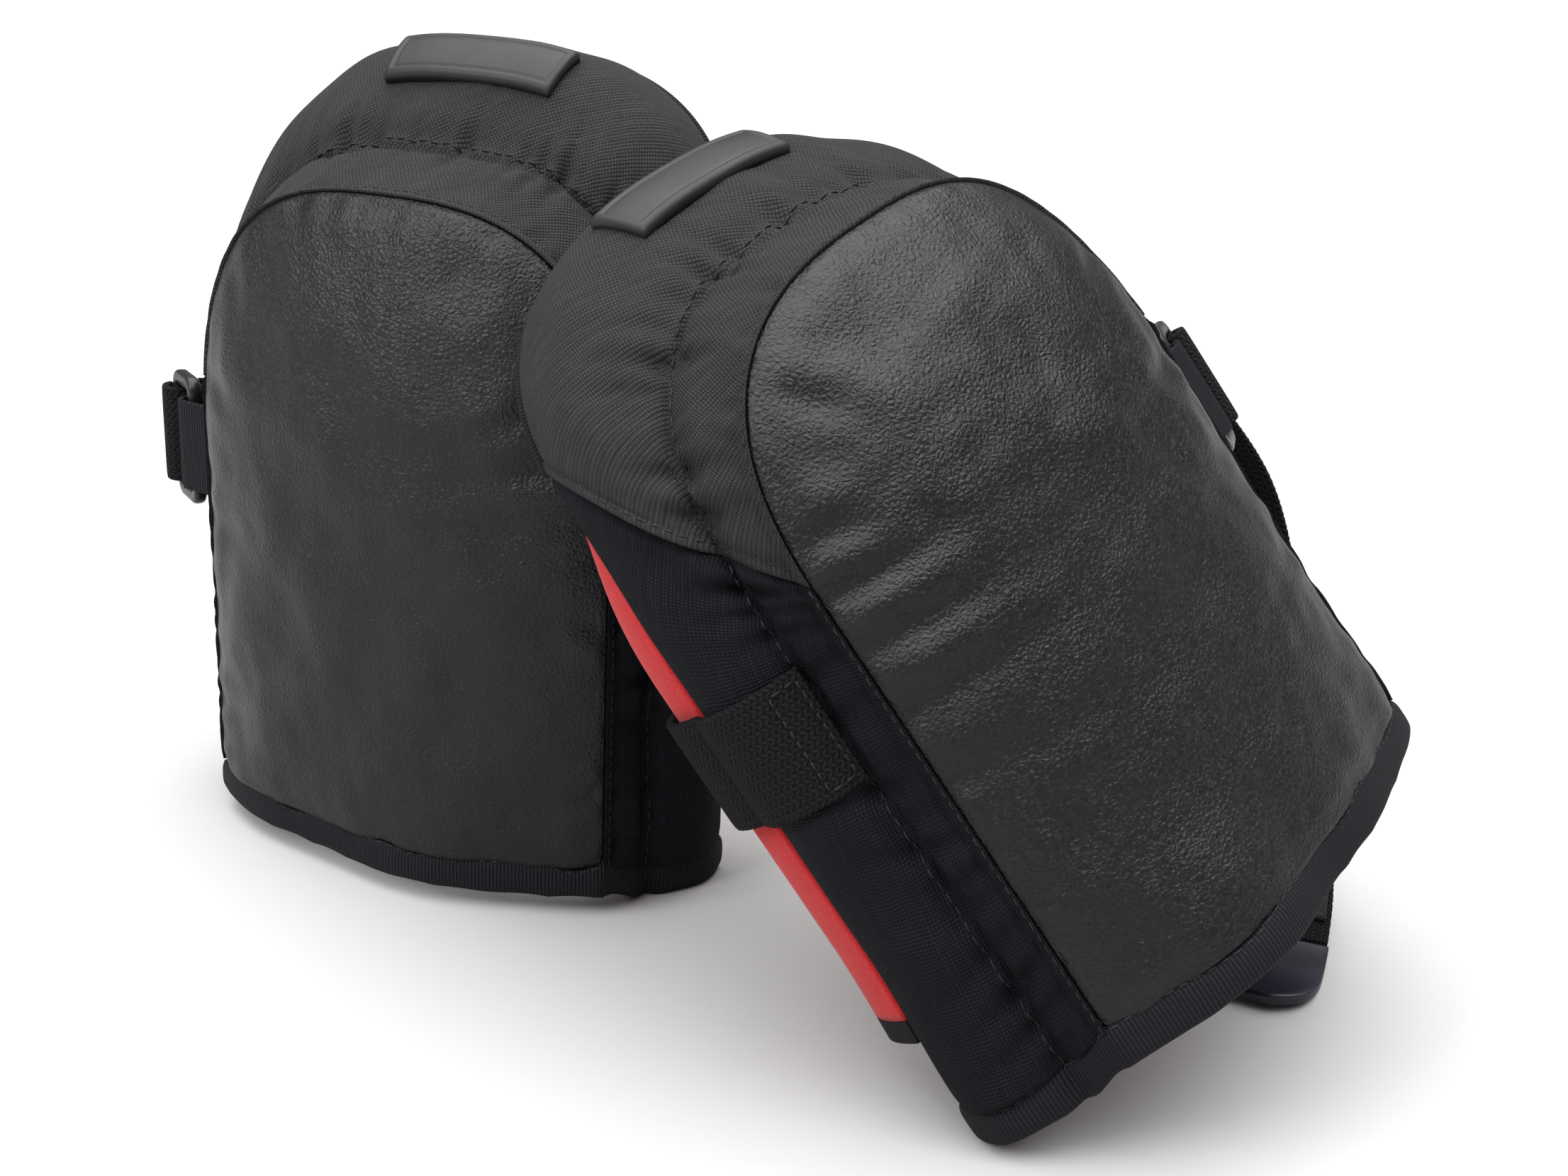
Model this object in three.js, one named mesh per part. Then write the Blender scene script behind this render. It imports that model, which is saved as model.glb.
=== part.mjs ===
// A pair of soft knee pads: the left pad stands on its lower edge and the right pad leans beside it.
// Each pad is a foam cup with a grained face panel, woven covers, a padded red lining and one strap.
import * as THREE from 'three';

// ---------------------------------------------------------------- driving sizes, mm and degrees
const FACE_HALF_W = 68;        // face panel, half its width
const FACE_TOP = 186;          // face panel's top edge above the pad's zero height
const ARCH_Z = 114;            // where the straight sides turn into the arch
const ARCH_POWER = 2.7;        // superellipse power of the arch
const FACE_BOW_SIDE = 19;      // how far the face falls back from its middle to its sides
const FACE_BOW_TOP = 15;       // and from its middle to its top
const BOW_POWER = 2.5;

const SIDE_OUT = 14.5;         // side wall: how far its back edge stands outside the face panel
const SIDE_BACK = 43;          // side wall: depth behind the face panel's edge
const CROWN_OUT = 33;          // crown: the same two sizes
const CROWN_BACK = 74;
const WALL_LEAVES = 81;        // direction in which a wall leaves the face's edge, from straight outwards
const WALL_ENDS = 111;         // direction in which it reaches the back edge
const WALL_FULLNESS = 0.49;    // length of the wall curve's handles, as a share of its chord

const INNER_EDGE = 13;         // the hollow's floor is this much narrower than the face, each side
const FLOOR_DEPTH = 18;        // thickness of the whole pad behind the face
const RIM_T = 11;              // thickness of the whole pad at the back edge
const INNER_LEAVES = 84;
const INNER_ENDS = 104;
const INNER_FULLNESS = 0.4;

const SKIN_T = 1.2;            // face panel and woven covers
const GAP = 0.3;               // between neighbouring pieces
const LINING_T = 6;            // lining with its own padding
const QUILT_AT = 0.29;         // the quilting line's place on the walls
const QUILT_DEPTH = 2.2;
const QUILT_WIDTH = 0.06;

const SEAM_LOW = 0.03;         // crown cover's lower seam at the face panel, as a share of the arch
const SEAM_HIGH = 0.22;        // and at the back edge
const SEAM_GAP = 0.0025;       // gap at that seam, as a share of the arch
const SHELL_Z0 = 5.3;          // covers and foam start here, above the bottom binding
const BIND_Z0 = -5;            // bottom binding
const BIND_Z1 = 5;
const BIND_T = 6;
const HEM_T = 1.5;             // hem facing inside the lower edge
const FOOT_DROP = 5;           // the side walls stand lower than the face's lower edge
const FOOT_FULL_AT = 0.28;     // where on the walls that drop is complete
const LINING_Z0 = 25;          // the lining stops above the shell's lower edge
const TAPE_H = 6;              // black tape on the lining's lower edge
const ROLL_BACK = 14;          // the lining's roll behind the side walls
const ROLL_TOP_BACK = 2;       // and behind the crown
const ROLL_FROM = 0.35;        // the roll grows as the edge turns from level, 0, to upright, 1
const ROLL_FULL = 1.3;
const ROLL_OPENS = 0.2;        // the roll leaves the edge over this share of its depth
const ROLL_START = 0.8;        // and has come this far back by then
const ROLL_BLUNT = 0.97;       // how far its tip closes: 1 is a sharp edge
const PIPING_T = 3.2;
const PIPING_H = 2.4;

const BADGE_HALF_X = 22.5;     // badge: half its length, measured on the face's outline
const BADGE_FRONT = 0.51;      // badge's two long edges on the crown wall
const BADGE_BACK = 0.74;
const BADGE_T = 2.6;

const STRAP_W = 30;
const STRAP_T = 2.2;
const STRAP_Z = 98;            // height of the strap's middle
const STRAP_END_AT = 0.27;     // where the sewn end starts on the side wall
const PATCH_T = 1.0;           // hook and loop patches
const PATCH_W = 27;
const LOOP_FROM = 11;          // the loop patch's first and last step on the run
const LOOP_TO = 20;
const HOOK_SHARE = 0.35;       // length of the hook patch, as a share of the tail's path
const RUN_COUNT = 26;          // steps along the run and along each tail
const LAID_COUNT = 22;
const LOOSE_COUNT = 26;
const LAID_FROM = 9;           // the laid tail follows these steps of the run
const LAID_TO = 23;
const LAID_LIFT = 5.5;         // from the run's middle line to the laid tail's
const TAIL_END_T = 3.2;        // moulded end of the tail
const TAIL_END_SHARE = 0.8;    // the moulded end takes the rest of the tail's path
const TAIL_END_EXTRA_W = 1;
const TAIL_END_NARROWING = 0.75;
const TAIL_END_ROUNDNESS = 2.5;

const RING_BAR = 4.4;          // ring: width of its bars
const RING_T = 4;
const RING_SLOT_H = 31.6;
const RING_PITCH = 15;         // from the front bar's middle to the rear bar's
const RING_X = 91;             // front bar's middle
const RING_Y = 40;
const RING_SWING = 32;         // ring's direction, from straight outwards to the back
const RING_CORNER = 3;
const RING_SLOT_CORNER = 1;
const TAB_W = 28;
const TAB_T = 1.6;
const TAB_BORE = 3.3;          // inside radius of the tab's loop round the bar
const TAB_UNDER = [0.14, 0.22, 0.29, 0.36, 0.42];   // places on the wall along the tab's underside
const TAB_OVER = [0.3, 0.22, 0.14];                 // and back along its doubled outside
const TAB_LOOP_FROM = 140;     // the loop's outside starts and ends at these directions
const TAB_LOOP_TO = -65;
const FOLD_R = 4.5;            // radius of the strap's middle line round the rear bar
const FOLD_FROM = 165;         // directions round the rear bar where the fold starts and ends
const FOLD_TO = 340;
const FOLD_GAP = 6;            // between the run and the fold, degrees
const TAIL_HINGE = 360;        // the tail bends at this point of the fold's circle

// Where the right pad stands, in the left pad's own frame.
const RIGHT_AT = [262.4, 24.6, 56.6];
const RIGHT_TURN = [-33.32, -18.63, 74.88];

const PVC = { color: 0x26262a, roughness: 0.55, metalness: 0 };
const WOVEN = { color: 0x232327, roughness: 0.85, metalness: 0 };
const WEBBING = { color: 0x1e1e22, roughness: 0.9, metalness: 0 };
const BINDING = { color: 0x202026, roughness: 0.8, metalness: 0 };
const RUBBER = { color: 0x1c1c1e, roughness: 0.6, metalness: 0 };
const PLASTIC = { color: 0x303034, roughness: 0.4, metalness: 0 };
const SMOOTH = { color: 0x1e1e2a, roughness: 0.5, metalness: 0 };
const FOAM = { color: 0x3a3a3c, roughness: 0.95, metalness: 0 };
const RED = { color: 0xc83a3c, roughness: 0.9, metalness: 0 };

// ---------------------------------------------------------------- small tools
const lerp = (a, b, t) => a + (b - a) * t;
const smooth = (a, b, t) => THREE.MathUtils.smoothstep(t, a, b);
const steps = (from, to, n) => Array.from({ length: n + 1 }, (_, i) => lerp(from, to, i / n));
const power = (value, exponent) => Math.abs(value) ** exponent;

// Merges equal points, drops triangles that have no area, and turns the faces outwards.
function closedGeometry(points, triangles) {
  const places = new Map();
  const kept = [];
  const index = points.map((p) => {
    const key = p.toArray().map((c) => Math.round(c * 1000)).join();
    if (!places.has(key)) {
      places.set(key, kept.length);
      kept.push(p);
    }
    return places.get(key);
  });
  const faces = triangles
    .map((t) => t.map((i) => index[i]))
    .filter(([a, b, c]) => a !== b && b !== c && c !== a);
  let volume = 0;
  for (const [a, b, c] of faces) {
    volume += kept[a].dot(kept[b].clone().cross(kept[c]));
  }
  const order = volume < 0 ? ([a, b, c]) => [a, c, b] : (t) => t;
  const geometry = new THREE.BufferGeometry();
  geometry.setAttribute('position', new THREE.Float32BufferAttribute(kept.flatMap((p) => p.toArray()), 3));
  geometry.setIndex(faces.flatMap(order));
  return geometry;
}

// A layer between two surfaces: at(u, v, side) gives a point, side 0 outside and 1 inside.
// With openStart the first row of v lies on the pad's middle line, where the two halves meet.
function layer(us, vs, at, openStart = false) {
  const points = [];
  const id = (side, i, j) => (side * us.length + i) * vs.length + j;
  for (const side of [0, 1]) {
    for (const u of us) {
      for (const v of vs) {
        points.push(at(u, v, side));
      }
    }
  }
  const triangles = [];
  const quad = (a, b, c, d) => triangles.push([a, b, c], [a, c, d]);
  const lastU = us.length - 1;
  const lastV = vs.length - 1;
  for (let i = 0; i < lastU; i += 1) {
    for (let j = 0; j < lastV; j += 1) {
      quad(id(0, i, j), id(0, i + 1, j), id(0, i + 1, j + 1), id(0, i, j + 1));
      quad(id(1, i, j), id(1, i, j + 1), id(1, i + 1, j + 1), id(1, i + 1, j));
    }
    quad(id(0, i, lastV), id(0, i + 1, lastV), id(1, i + 1, lastV), id(1, i, lastV));
    if (!openStart) {
      quad(id(0, i, 0), id(1, i, 0), id(1, i + 1, 0), id(0, i + 1, 0));
    }
  }
  for (let j = 0; j < lastV; j += 1) {
    quad(id(0, 0, j), id(0, 0, j + 1), id(1, 0, j + 1), id(1, 0, j));
    quad(id(0, lastU, j), id(1, lastU, j), id(1, lastU, j + 1), id(0, lastU, j + 1));
  }
  return closedGeometry(points, triangles);
}

// ---------------------------------------------------------------- the pad's shape
// A station on the face panel's outline. k runs from -1 at the left foot to 0 where the arch starts,
// over the top at 0.5 to 1, and down the right side to 2. z0 is the height of the feet.
function station(k, z0) {
  if (k <= 0) {
    return { x: -FACE_HALF_W, z: lerp(ARCH_Z, z0, -k), nx: -1, nz: 0 };
  }
  if (k >= 1) {
    return { x: FACE_HALF_W, z: lerp(ARCH_Z, z0, k - 1), nx: 1, nz: 0 };
  }
  const c = -Math.cos(Math.PI * k);
  const s = Math.sin(Math.PI * k);
  const rise = FACE_TOP - ARCH_Z;
  const nx = Math.sign(c) * power(c, 2 - 2 / ARCH_POWER);
  const nz = power(s, 2 - 2 / ARCH_POWER) * FACE_HALF_W / rise;
  const length = Math.hypot(nx, nz);
  return {
    x: Math.sign(c) * FACE_HALF_W * power(c, 2 / ARCH_POWER),
    z: ARCH_Z + rise * power(s, 2 / ARCH_POWER),
    nx: nx / length,
    nz: nz / length,
  };
}

const faceY = (x, z) => FACE_BOW_SIDE * power(x / FACE_HALF_W, BOW_POWER)
  + FACE_BOW_TOP * (Math.max(z - ARCH_Z, 0) / (FACE_TOP - ARCH_Z)) ** 2;

// A wall's profile as a cubic curve: (outwards, backwards) from (0, 0) to (out, back).
function wallProfile(v, out, back, leaves, ends, fullness) {
  const handle = Math.hypot(out, back) * fullness;
  const a = THREE.MathUtils.degToRad(leaves);
  const b = THREE.MathUtils.degToRad(ends);
  const first = 3 * v * (1 - v) ** 2;
  const second = 3 * v * v * (1 - v);
  return [
    first * handle * Math.cos(a) + second * (out - handle * Math.cos(b)) + v ** 3 * out,
    first * handle * Math.sin(a) + second * (back - handle * Math.sin(b)) + v ** 3 * back,
  ];
}

// v runs from -1 on the pad's middle line to 0 at the face panel's edge and 1 at the back edge.
function outerPoint(st, v) {
  if (v <= 0) {
    const middle = Math.min(st.z, ARCH_Z);
    const x = (1 + v) * st.x;
    const z = lerp(middle, st.z, 1 + v);
    return new THREE.Vector3(x, faceY(x, z), z);
  }
  const crown = st.nz ** 2;
  const size = [lerp(SIDE_OUT, CROWN_OUT, crown), lerp(SIDE_BACK, CROWN_BACK, crown)];
  const [out, back] = wallProfile(v, ...size, WALL_LEAVES, WALL_ENDS, WALL_FULLNESS);
  return new THREE.Vector3(st.x + out * st.nx, faceY(st.x, st.z) + back, st.z + out * st.nz);
}

function innerPoint(st, v) {
  if (v <= 0) {
    const middle = Math.min(st.z, ARCH_Z);
    const x = (1 + v) * (st.x - INNER_EDGE * st.nx);
    const z = lerp(middle, st.z - INNER_EDGE * st.nz, 1 + v);
    const outer = outerPoint(st, v);
    return new THREE.Vector3(x, outer.y + FLOOR_DEPTH, z);
  }
  const crown = st.nz ** 2;
  const edgeOut = lerp(SIDE_OUT, CROWN_OUT, crown);
  const out = edgeOut - RIM_T + INNER_EDGE;
  const back = lerp(SIDE_BACK, CROWN_BACK, crown) - FLOOR_DEPTH;
  const [o, b] = wallProfile(v, out, back, INNER_LEAVES, INNER_ENDS, INNER_FULLNESS);
  const reach = o - INNER_EDGE;
  const y = faceY(st.x, st.z) + FLOOR_DEPTH + b;
  return new THREE.Vector3(st.x + reach * st.nx, y, st.z + reach * st.nz);
}

const quilting = (v) => QUILT_DEPTH * Math.exp(-(((v - QUILT_AT) / QUILT_WIDTH) ** 2));

// The point at a depth below the outside. A negative depth stands outside the pad.
function at(st, v, depth) {
  const outer = outerPoint(st, v);
  const inwards = innerPoint(st, v).sub(outer);
  return outer.addScaledVector(inwards.normalize(), depth + quilting(v));
}

// The same, measured outwards from the hollow's surface.
function atInner(st, v, height) {
  const inner = innerPoint(st, v);
  const outwards = outerPoint(st, v).sub(inner);
  return inner.addScaledVector(outwards.normalize(), height);
}

// The pieces share one grid, so that their flat facets lie side by side. f runs from -2 at the left foot
// to -1 where the arch starts, 0 at the crown's left seam, 1 at its right seam and 3 at the right foot.
const CROWN_STEPS = steps(0, 1, 16);
const SIDE_STEPS = [-2, -1, -0.7, -0.4, 0];
const FAR_SIDE_STEPS = SIDE_STEPS.map((f) => 1 - f).reverse();
const AROUND = [...SIDE_STEPS, ...CROWN_STEPS.slice(1), ...FAR_SIDE_STEPS.slice(1)];
const FACE_STEPS = [-1, -0.75, -0.5, -0.25, -0.005];
const WALL_STEPS = [0.005, 0.12, 0.22, QUILT_AT, 0.36, 0.5, 0.65, 0.82, 1];
const footDrop = (v) => FOOT_DROP * smooth(0, FOOT_FULL_AT, v);
const seamAt = (v) => lerp(SEAM_LOW, SEAM_HIGH, Math.min(Math.max(v, 0), 1));

function gridStation(f, v, z0) {
  const seam = seamAt(v);
  if (f > 0.5) {
    const mirror = gridStation(1 - f, v, z0);
    return { ...mirror, x: -mirror.x, nx: -mirror.nx };
  }
  if (f >= 0) {
    return station(lerp(seam, 1 - seam, f), z0);
  }
  return station(f < -1 ? f + 1 : (f + 1) * seam, z0);
}

const shellStation = (f, v) => gridStation(f, v, SHELL_Z0 - footDrop(v));

// ---------------------------------------------------------------- panels, foam and lining
const coverPoint = (f, v, side) => at(shellStation(f, v), v, side * SKIN_T);

function facePanel() {
  return layer(AROUND, FACE_STEPS, coverPoint, true);
}

function crownCover() {
  return layer(CROWN_STEPS, WALL_STEPS, coverPoint);
}

function sideCover(fs) {
  return layer(fs, WALL_STEPS, (f, v, side) => {
    const gap = { 0: -SEAM_GAP, 1: SEAM_GAP }[f];
    if (gap) {
      return at(station(Math.abs(f - seamAt(v)) + gap, SHELL_Z0), v, side * SKIN_T);
    }
    return coverPoint(f, v, side);
  });
}

function foam(vs, isFace) {
  const point = (f, v, side) => {
    const st = shellStation(f, v);
    return side === 0 ? at(st, v, SKIN_T + GAP) : atInner(st, v, LINING_T + GAP);
  };
  return layer(AROUND, vs, point, isFace);
}

// The lining's roll behind the back edge: t runs from 0 at the edge to 1 at the roll's tip.
function rollPoint(st, t, side, share) {
  const inner = innerPoint(st, 1);
  const out = outerPoint(st, 1).sub(inner).normalize();
  const full = lerp(LINING_T, RIM_T - 2 * GAP, share);
  const width = lerp(LINING_T, full, smooth(0, ROLL_OPENS, t));
  const tip = Math.max(t - ROLL_OPENS, 0) / (1 - ROLL_OPENS);
  const half = width / 2 * Math.sqrt(1 - ROLL_BLUNT * tip * tip);
  const reach = lerp(ROLL_TOP_BACK, ROLL_BACK, share);
  const back = t < ROLL_OPENS ? lerp(0, ROLL_START, t / ROLL_OPENS) : lerp(ROLL_START, reach, tip);
  inner.addScaledVector(out, width / 2 + (side === 0 ? half : -half));
  inner.y += back;
  return inner;
}

// How far the roll has grown at a station: nothing over the crown, whole along the sides.
const rollShare = (st) => smooth(ROLL_FROM, ROLL_FULL, 1 - st.nz);
const ROLL_STEPS = [1.2, 1.5, 1.8, 2];

const liningPoint = (st, v, side) => (
  v > 1 ? rollPoint(st, v - 1, side, rollShare(st)) : atInner(st, v, side === 0 ? LINING_T : 0)
);

function lining() {
  const vs = [...FACE_STEPS, ...WALL_STEPS, ...ROLL_STEPS];
  return layer(AROUND, vs, (f, v, side) => liningPoint(gridStation(f, v, LINING_Z0), v, side), true);
}

// Pieces of one height that follow the U of the lower edge. q runs from the left back edge at -2
// through the middle at 0 to the right back edge at 2.
const bothWays = (vs) => [...vs.map((v) => -v - 1).reverse(), ...vs.slice(1).map((v) => v + 1)];
const FOOT_STEPS = bothWays([...FACE_STEPS, ...WALL_STEPS]);

function footRing(qs, z0, z1, pointAt) {
  return layer(qs, [0, 1], (q, share, side) => {
    const v = Math.abs(q) - 1;
    const z = lerp(z0(v), z1(v), share);
    const st = { x: (q < 0 ? -1 : 1) * FACE_HALF_W, z, nx: q < 0 ? -1 : 1, nz: 0 };
    return pointAt(st, v, side);
  });
}

function liningTape() {
  const top = LINING_Z0 - GAP;
  const around = bothWays([...FACE_STEPS, ...WALL_STEPS, ...ROLL_STEPS]);
  return footRing(around, () => top - TAPE_H, () => top, liningPoint);
}

function bottomBinding() {
  const from = (v) => BIND_Z0 - footDrop(v);
  const to = (v) => BIND_Z1 - footDrop(v);
  return footRing(FOOT_STEPS, from, to, (st, v, side) => at(st, v, side * BIND_T));
}

function hemFacing() {
  const top = LINING_Z0 - 2 * GAP - TAPE_H;
  const from = (v) => SHELL_Z0 - footDrop(v);
  return footRing(FOOT_STEPS, from, () => top, (st, v, side) => atInner(st, v, LINING_T - side * HEM_T));
}

function crownPiping() {
  return layer(CROWN_STEPS, [0, 1], (f, v, side) => {
    const st = gridStation(f, 1, SHELL_Z0);
    const edge = outerPoint(st, 1);
    const inwards = innerPoint(st, 1).sub(edge).normalize();
    edge.addScaledVector(inwards, side * PIPING_T);
    edge.y += GAP + v * PIPING_H;
    return edge;
  });
}

function badge() {
  const share = Math.acos(power(BADGE_HALF_X / FACE_HALF_W, ARCH_POWER / 2)) / Math.PI;
  return layer(steps(share, 1 - share, 12), steps(BADGE_FRONT, BADGE_BACK, 4), (k, v, side) => (
    at(station(k, SHELL_Z0), v, side === 0 ? -GAP - BADGE_T : -GAP)
  ));
}

// ---------------------------------------------------------------- strap, ring and tab
// These are built for a pad whose strap is sewn to its left side and whose ring is on its right.
const wallStation = (sign) => ({ x: sign * FACE_HALF_W, z: STRAP_Z, nx: sign, nz: 0 });

// A flat band along a path: each path point carries its outward direction.
function band(path, width, inside, outside) {
  const last = path.length - 1;
  const tangent = (i) => path[Math.min(i + 1, last)].at.clone().sub(path[Math.max(i - 1, 0)].at).normalize();
  return layer([...path.keys()], [-0.5, 0.5], (i, v, side) => {
    const { at: middle, out } = path[i];
    const across = tangent(i).cross(out).normalize();
    const off = side === 0 ? outside : inside;
    return middle.clone().addScaledVector(across, v * width).addScaledVector(out, off);
  });
}

const up = new THREE.Vector3(0, 0, 1);

// Path points along a smooth curve through the given ones, with the outward side on its left or right.
function bandPath(points, count, outOf) {
  const curve = new THREE.CatmullRomCurve3(points.map((p) => new THREE.Vector3(...p)), false, 'centripetal');
  return steps(0, 1, count).map((t) => ({ at: curve.getPointAt(t), out: outOf(curve.getTangentAt(t), t) }));
}

const levelOut = (tangent) => tangent.clone().cross(up).normalize().negate();

function strapEnd() {
  const st = wallStation(-1);
  const inside = -GAP;
  const outside = -GAP - STRAP_T;
  return layer([STRAP_END_AT, ...WALL_STEPS.slice(4)], [-0.5, 0.5], (v, w, side) => (
    at({ ...st, z: STRAP_Z + w * STRAP_W }, v, side === 0 ? outside : inside)
  ));
}

const ringDirection = new THREE.Vector3(
  Math.cos(THREE.MathUtils.degToRad(RING_SWING)),
  Math.sin(THREE.MathUtils.degToRad(RING_SWING)),
  0,
);
const ringBack = up.clone().cross(ringDirection);
const frontBar = new THREE.Vector3(RING_X, RING_Y, STRAP_Z);
const rearBar = frontBar.clone().addScaledVector(ringDirection, RING_PITCH);

// A point round the rear bar: 0 degrees lies away from the tab, 90 behind the ring.
function roundRearBar(degrees, radius) {
  const a = THREE.MathUtils.degToRad(degrees);
  return rearBar.clone()
    .addScaledVector(ringDirection, radius * Math.cos(a))
    .addScaledVector(ringBack, radius * Math.sin(a));
}

function strapFold() {
  const path = steps(FOLD_FROM, FOLD_TO, 10).map((a) => {
    const middle = roundRearBar(a, FOLD_R);
    return { at: middle, out: middle.clone().sub(rearBar).normalize() };
  });
  return band(path, STRAP_W, -STRAP_T / 2, STRAP_T / 2);
}

// The strap's middle line behind the knee, from the sewn end to the ring.
const RUN_POINTS = [
  [-84.0, 62.6], [-84.3, 68], [-82.4, 76], [-75.5, 84], [-60, 91], [-34, 96.5], [0, 99],
  [34, 98], [58, 94], [75, 87.3], [85.2, 79], [91.5, 69.5], [96.5, 58.5],
];

function runPath() {
  const end = roundRearBar(FOLD_FROM - FOLD_GAP, FOLD_R);
  const points = [...RUN_POINTS.map(([x, y]) => [x, y, STRAP_Z]), [end.x, end.y, STRAP_Z]];
  return bandPath(points, RUN_COUNT, levelOut);
}

const strapRun = (path) => band(path, STRAP_W, -STRAP_T / 2, STRAP_T / 2);

const HOOK_LIFT = STRAP_T / 2 + GAP;

function loopPatch(path) {
  return band(path.slice(LOOP_FROM, LOOP_TO + 1), PATCH_W, HOOK_LIFT, HOOK_LIFT + PATCH_T);
}

const tailStart = () => roundRearBar(TAIL_HINGE, FOLD_R).addScaledVector(ringBack, GAP);

// The tail laid back on the run, from the ring to behind the knee.
function laidTailPath(run) {
  const over = (p) => p.at.clone().addScaledVector(p.out, LAID_LIFT).toArray();
  const after = run.slice(LAID_FROM, LAID_TO).reverse().map(over);
  return bandPath([tailStart().toArray(), ...after], LAID_COUNT, (tangent) => levelOut(tangent).negate());
}

// The tail hanging loose down to the ground behind the pad.
const LOOSE_POINTS = [
  [106.5, 54.5, 98], [106.3, 61.5, 98.3], [111.5, 69.5, 91], [118.2, 74.2, 58], [108.4, 84.0, 18.5],
  [88.6, 89.6, -20.4], [66.9, 86.9, -40.1], [45.7, 79.4, -45.3], [27.6, 70.6, -44.9], [10.8, 62.2, -42.0],
];

// The loose tail's outside turns from the ring's direction to hang, then to lie on the ground.
const HANGING_OUT = new THREE.Vector3(0.915, 0.387, -0.114);
const LYING_OUT = new THREE.Vector3(-0.319, 0.521, -0.792);
const HANGS = [0.1, 0.25];
const LIES = [0.5, 0.8];

function looseTailPath() {
  return bandPath([tailStart().toArray(), ...LOOSE_POINTS], LOOSE_COUNT, (tangent, t) => {
    const out = ringDirection.clone()
      .lerp(HANGING_OUT, smooth(...HANGS, t))
      .lerp(LYING_OUT, smooth(...LIES, t));
    return out.addScaledVector(tangent, -out.dot(tangent)).normalize();
  });
}

function tailPieces(path) {
  const split = Math.round(path.length * TAIL_END_SHARE);
  const strap = path.slice(0, split + 1);
  const tip = path.slice(split);
  const shift = tip[1].at.clone().sub(tip[0].at).setLength(2 * GAP);
  tip[0] = { at: tip[0].at.clone().add(shift), out: tip[0].out };
  const hookLength = Math.round(path.length * HOOK_SHARE);
  return {
    strap_tail: band(strap, STRAP_W, -STRAP_T / 2, STRAP_T / 2),
    tail_end: roundedBand(tip, STRAP_W + TAIL_END_EXTRA_W, TAIL_END_T),
    hook_patch: band(strap.slice(split - hookLength, split), PATCH_W, -HOOK_LIFT - PATCH_T, -HOOK_LIFT),
  };
}

// A band whose far end is rounded.
function roundedBand(path, width, thickness) {
  const last = path.length - 1;
  const tangent = (i) => path[Math.min(i + 1, last)].at.clone().sub(path[Math.max(i - 1, 0)].at).normalize();
  const narrowing = (i) => {
    const t = Math.max(2 * i / last - 1, 0);
    return Math.sqrt(1 - TAIL_END_NARROWING * t ** TAIL_END_ROUNDNESS);
  };
  return layer([...path.keys()], [-0.5, -0.25, 0.25, 0.5], (i, v, side) => {
    const { at: middle, out } = path[i];
    const across = tangent(i).cross(out).normalize();
    const off = (side === 0 ? 0.5 : -0.5) * thickness;
    return middle.clone().addScaledVector(across, v * width * narrowing(i)).addScaledVector(out, off);
  });
}

// Turns a shape drawn in the ring's own plane, x along the ring and y along the bars, into place.
function ring() {
  const length = RING_PITCH + RING_BAR;
  const height = RING_SLOT_H + 2 * RING_BAR;
  const outline = roundedRectangle(new THREE.Shape(), length, height, RING_CORNER);
  const slotLength = length - 2 * RING_BAR;
  outline.holes.push(roundedRectangle(new THREE.Path(), slotLength, RING_SLOT_H, RING_SLOT_CORNER));
  const options = { depth: RING_T, bevelEnabled: false, curveSegments: 3 };
  const geometry = new THREE.ExtrudeGeometry(outline, options);
  geometry.translate(RING_PITCH / 2, 0, -RING_T / 2);
  const frame = new THREE.Matrix4().makeBasis(ringDirection, up, ringBack.clone().negate());
  frame.setPosition(frontBar);
  geometry.applyMatrix4(frame);
  return geometry;
}

function roundedRectangle(path, width, height, corner) {
  const x = width / 2;
  const y = height / 2;
  path.moveTo(-x + corner, -y);
  path.lineTo(x - corner, -y);
  path.absarc(x - corner, -y + corner, corner, -Math.PI / 2, 0, false);
  path.absarc(x - corner, y - corner, corner, 0, Math.PI / 2, false);
  path.absarc(-x + corner, y - corner, corner, Math.PI / 2, Math.PI, false);
  path.absarc(-x + corner, -y + corner, corner, Math.PI, 1.5 * Math.PI, false);
  return path;
}

// Folded webbing sewn to the side wall, with a loop round the ring's front bar.
function ringTab() {
  const st = wallStation(1);
  const onWall = (v, depth) => {
    const p = at(st, v, depth);
    return [p.x, p.y];
  };
  const doubled = -GAP - 2 * TAB_T;
  const shape = new THREE.Shape();
  shape.moveTo(...onWall(TAB_UNDER[0], -GAP));
  for (const v of TAB_UNDER.slice(1)) {
    shape.lineTo(...onWall(v, -GAP));
  }
  const from = THREE.MathUtils.degToRad(TAB_LOOP_FROM);
  const to = THREE.MathUtils.degToRad(TAB_LOOP_TO);
  shape.absarc(RING_X, RING_Y, TAB_BORE + TAB_T, from, to, true);
  for (const v of TAB_OVER) {
    shape.lineTo(...onWall(v, doubled));
  }
  shape.closePath();
  const bore = new THREE.Path();
  bore.absarc(RING_X, RING_Y, TAB_BORE, 0, 2 * Math.PI, false);
  shape.holes.push(bore);
  const geometry = new THREE.ExtrudeGeometry(shape, { depth: TAB_W, bevelEnabled: false, curveSegments: 16 });
  geometry.translate(0, 0, STRAP_Z - TAB_W / 2);
  return geometry;
}

// ---------------------------------------------------------------- assembly
// The mirror image of a shape, with its faces still turned outwards.
function mirrored(geometry) {
  const place = geometry.getAttribute('position');
  for (let i = 0; i < place.count; i += 1) {
    place.setX(i, -place.getX(i));
  }
  const order = geometry.index ? Array.from(geometry.index.array) : [...Array(place.count).keys()];
  for (let i = 0; i < order.length; i += 3) {
    [order[i + 1], order[i + 2]] = [order[i + 2], order[i + 1]];
  }
  geometry.setIndex(order);
  return geometry;
}

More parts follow.
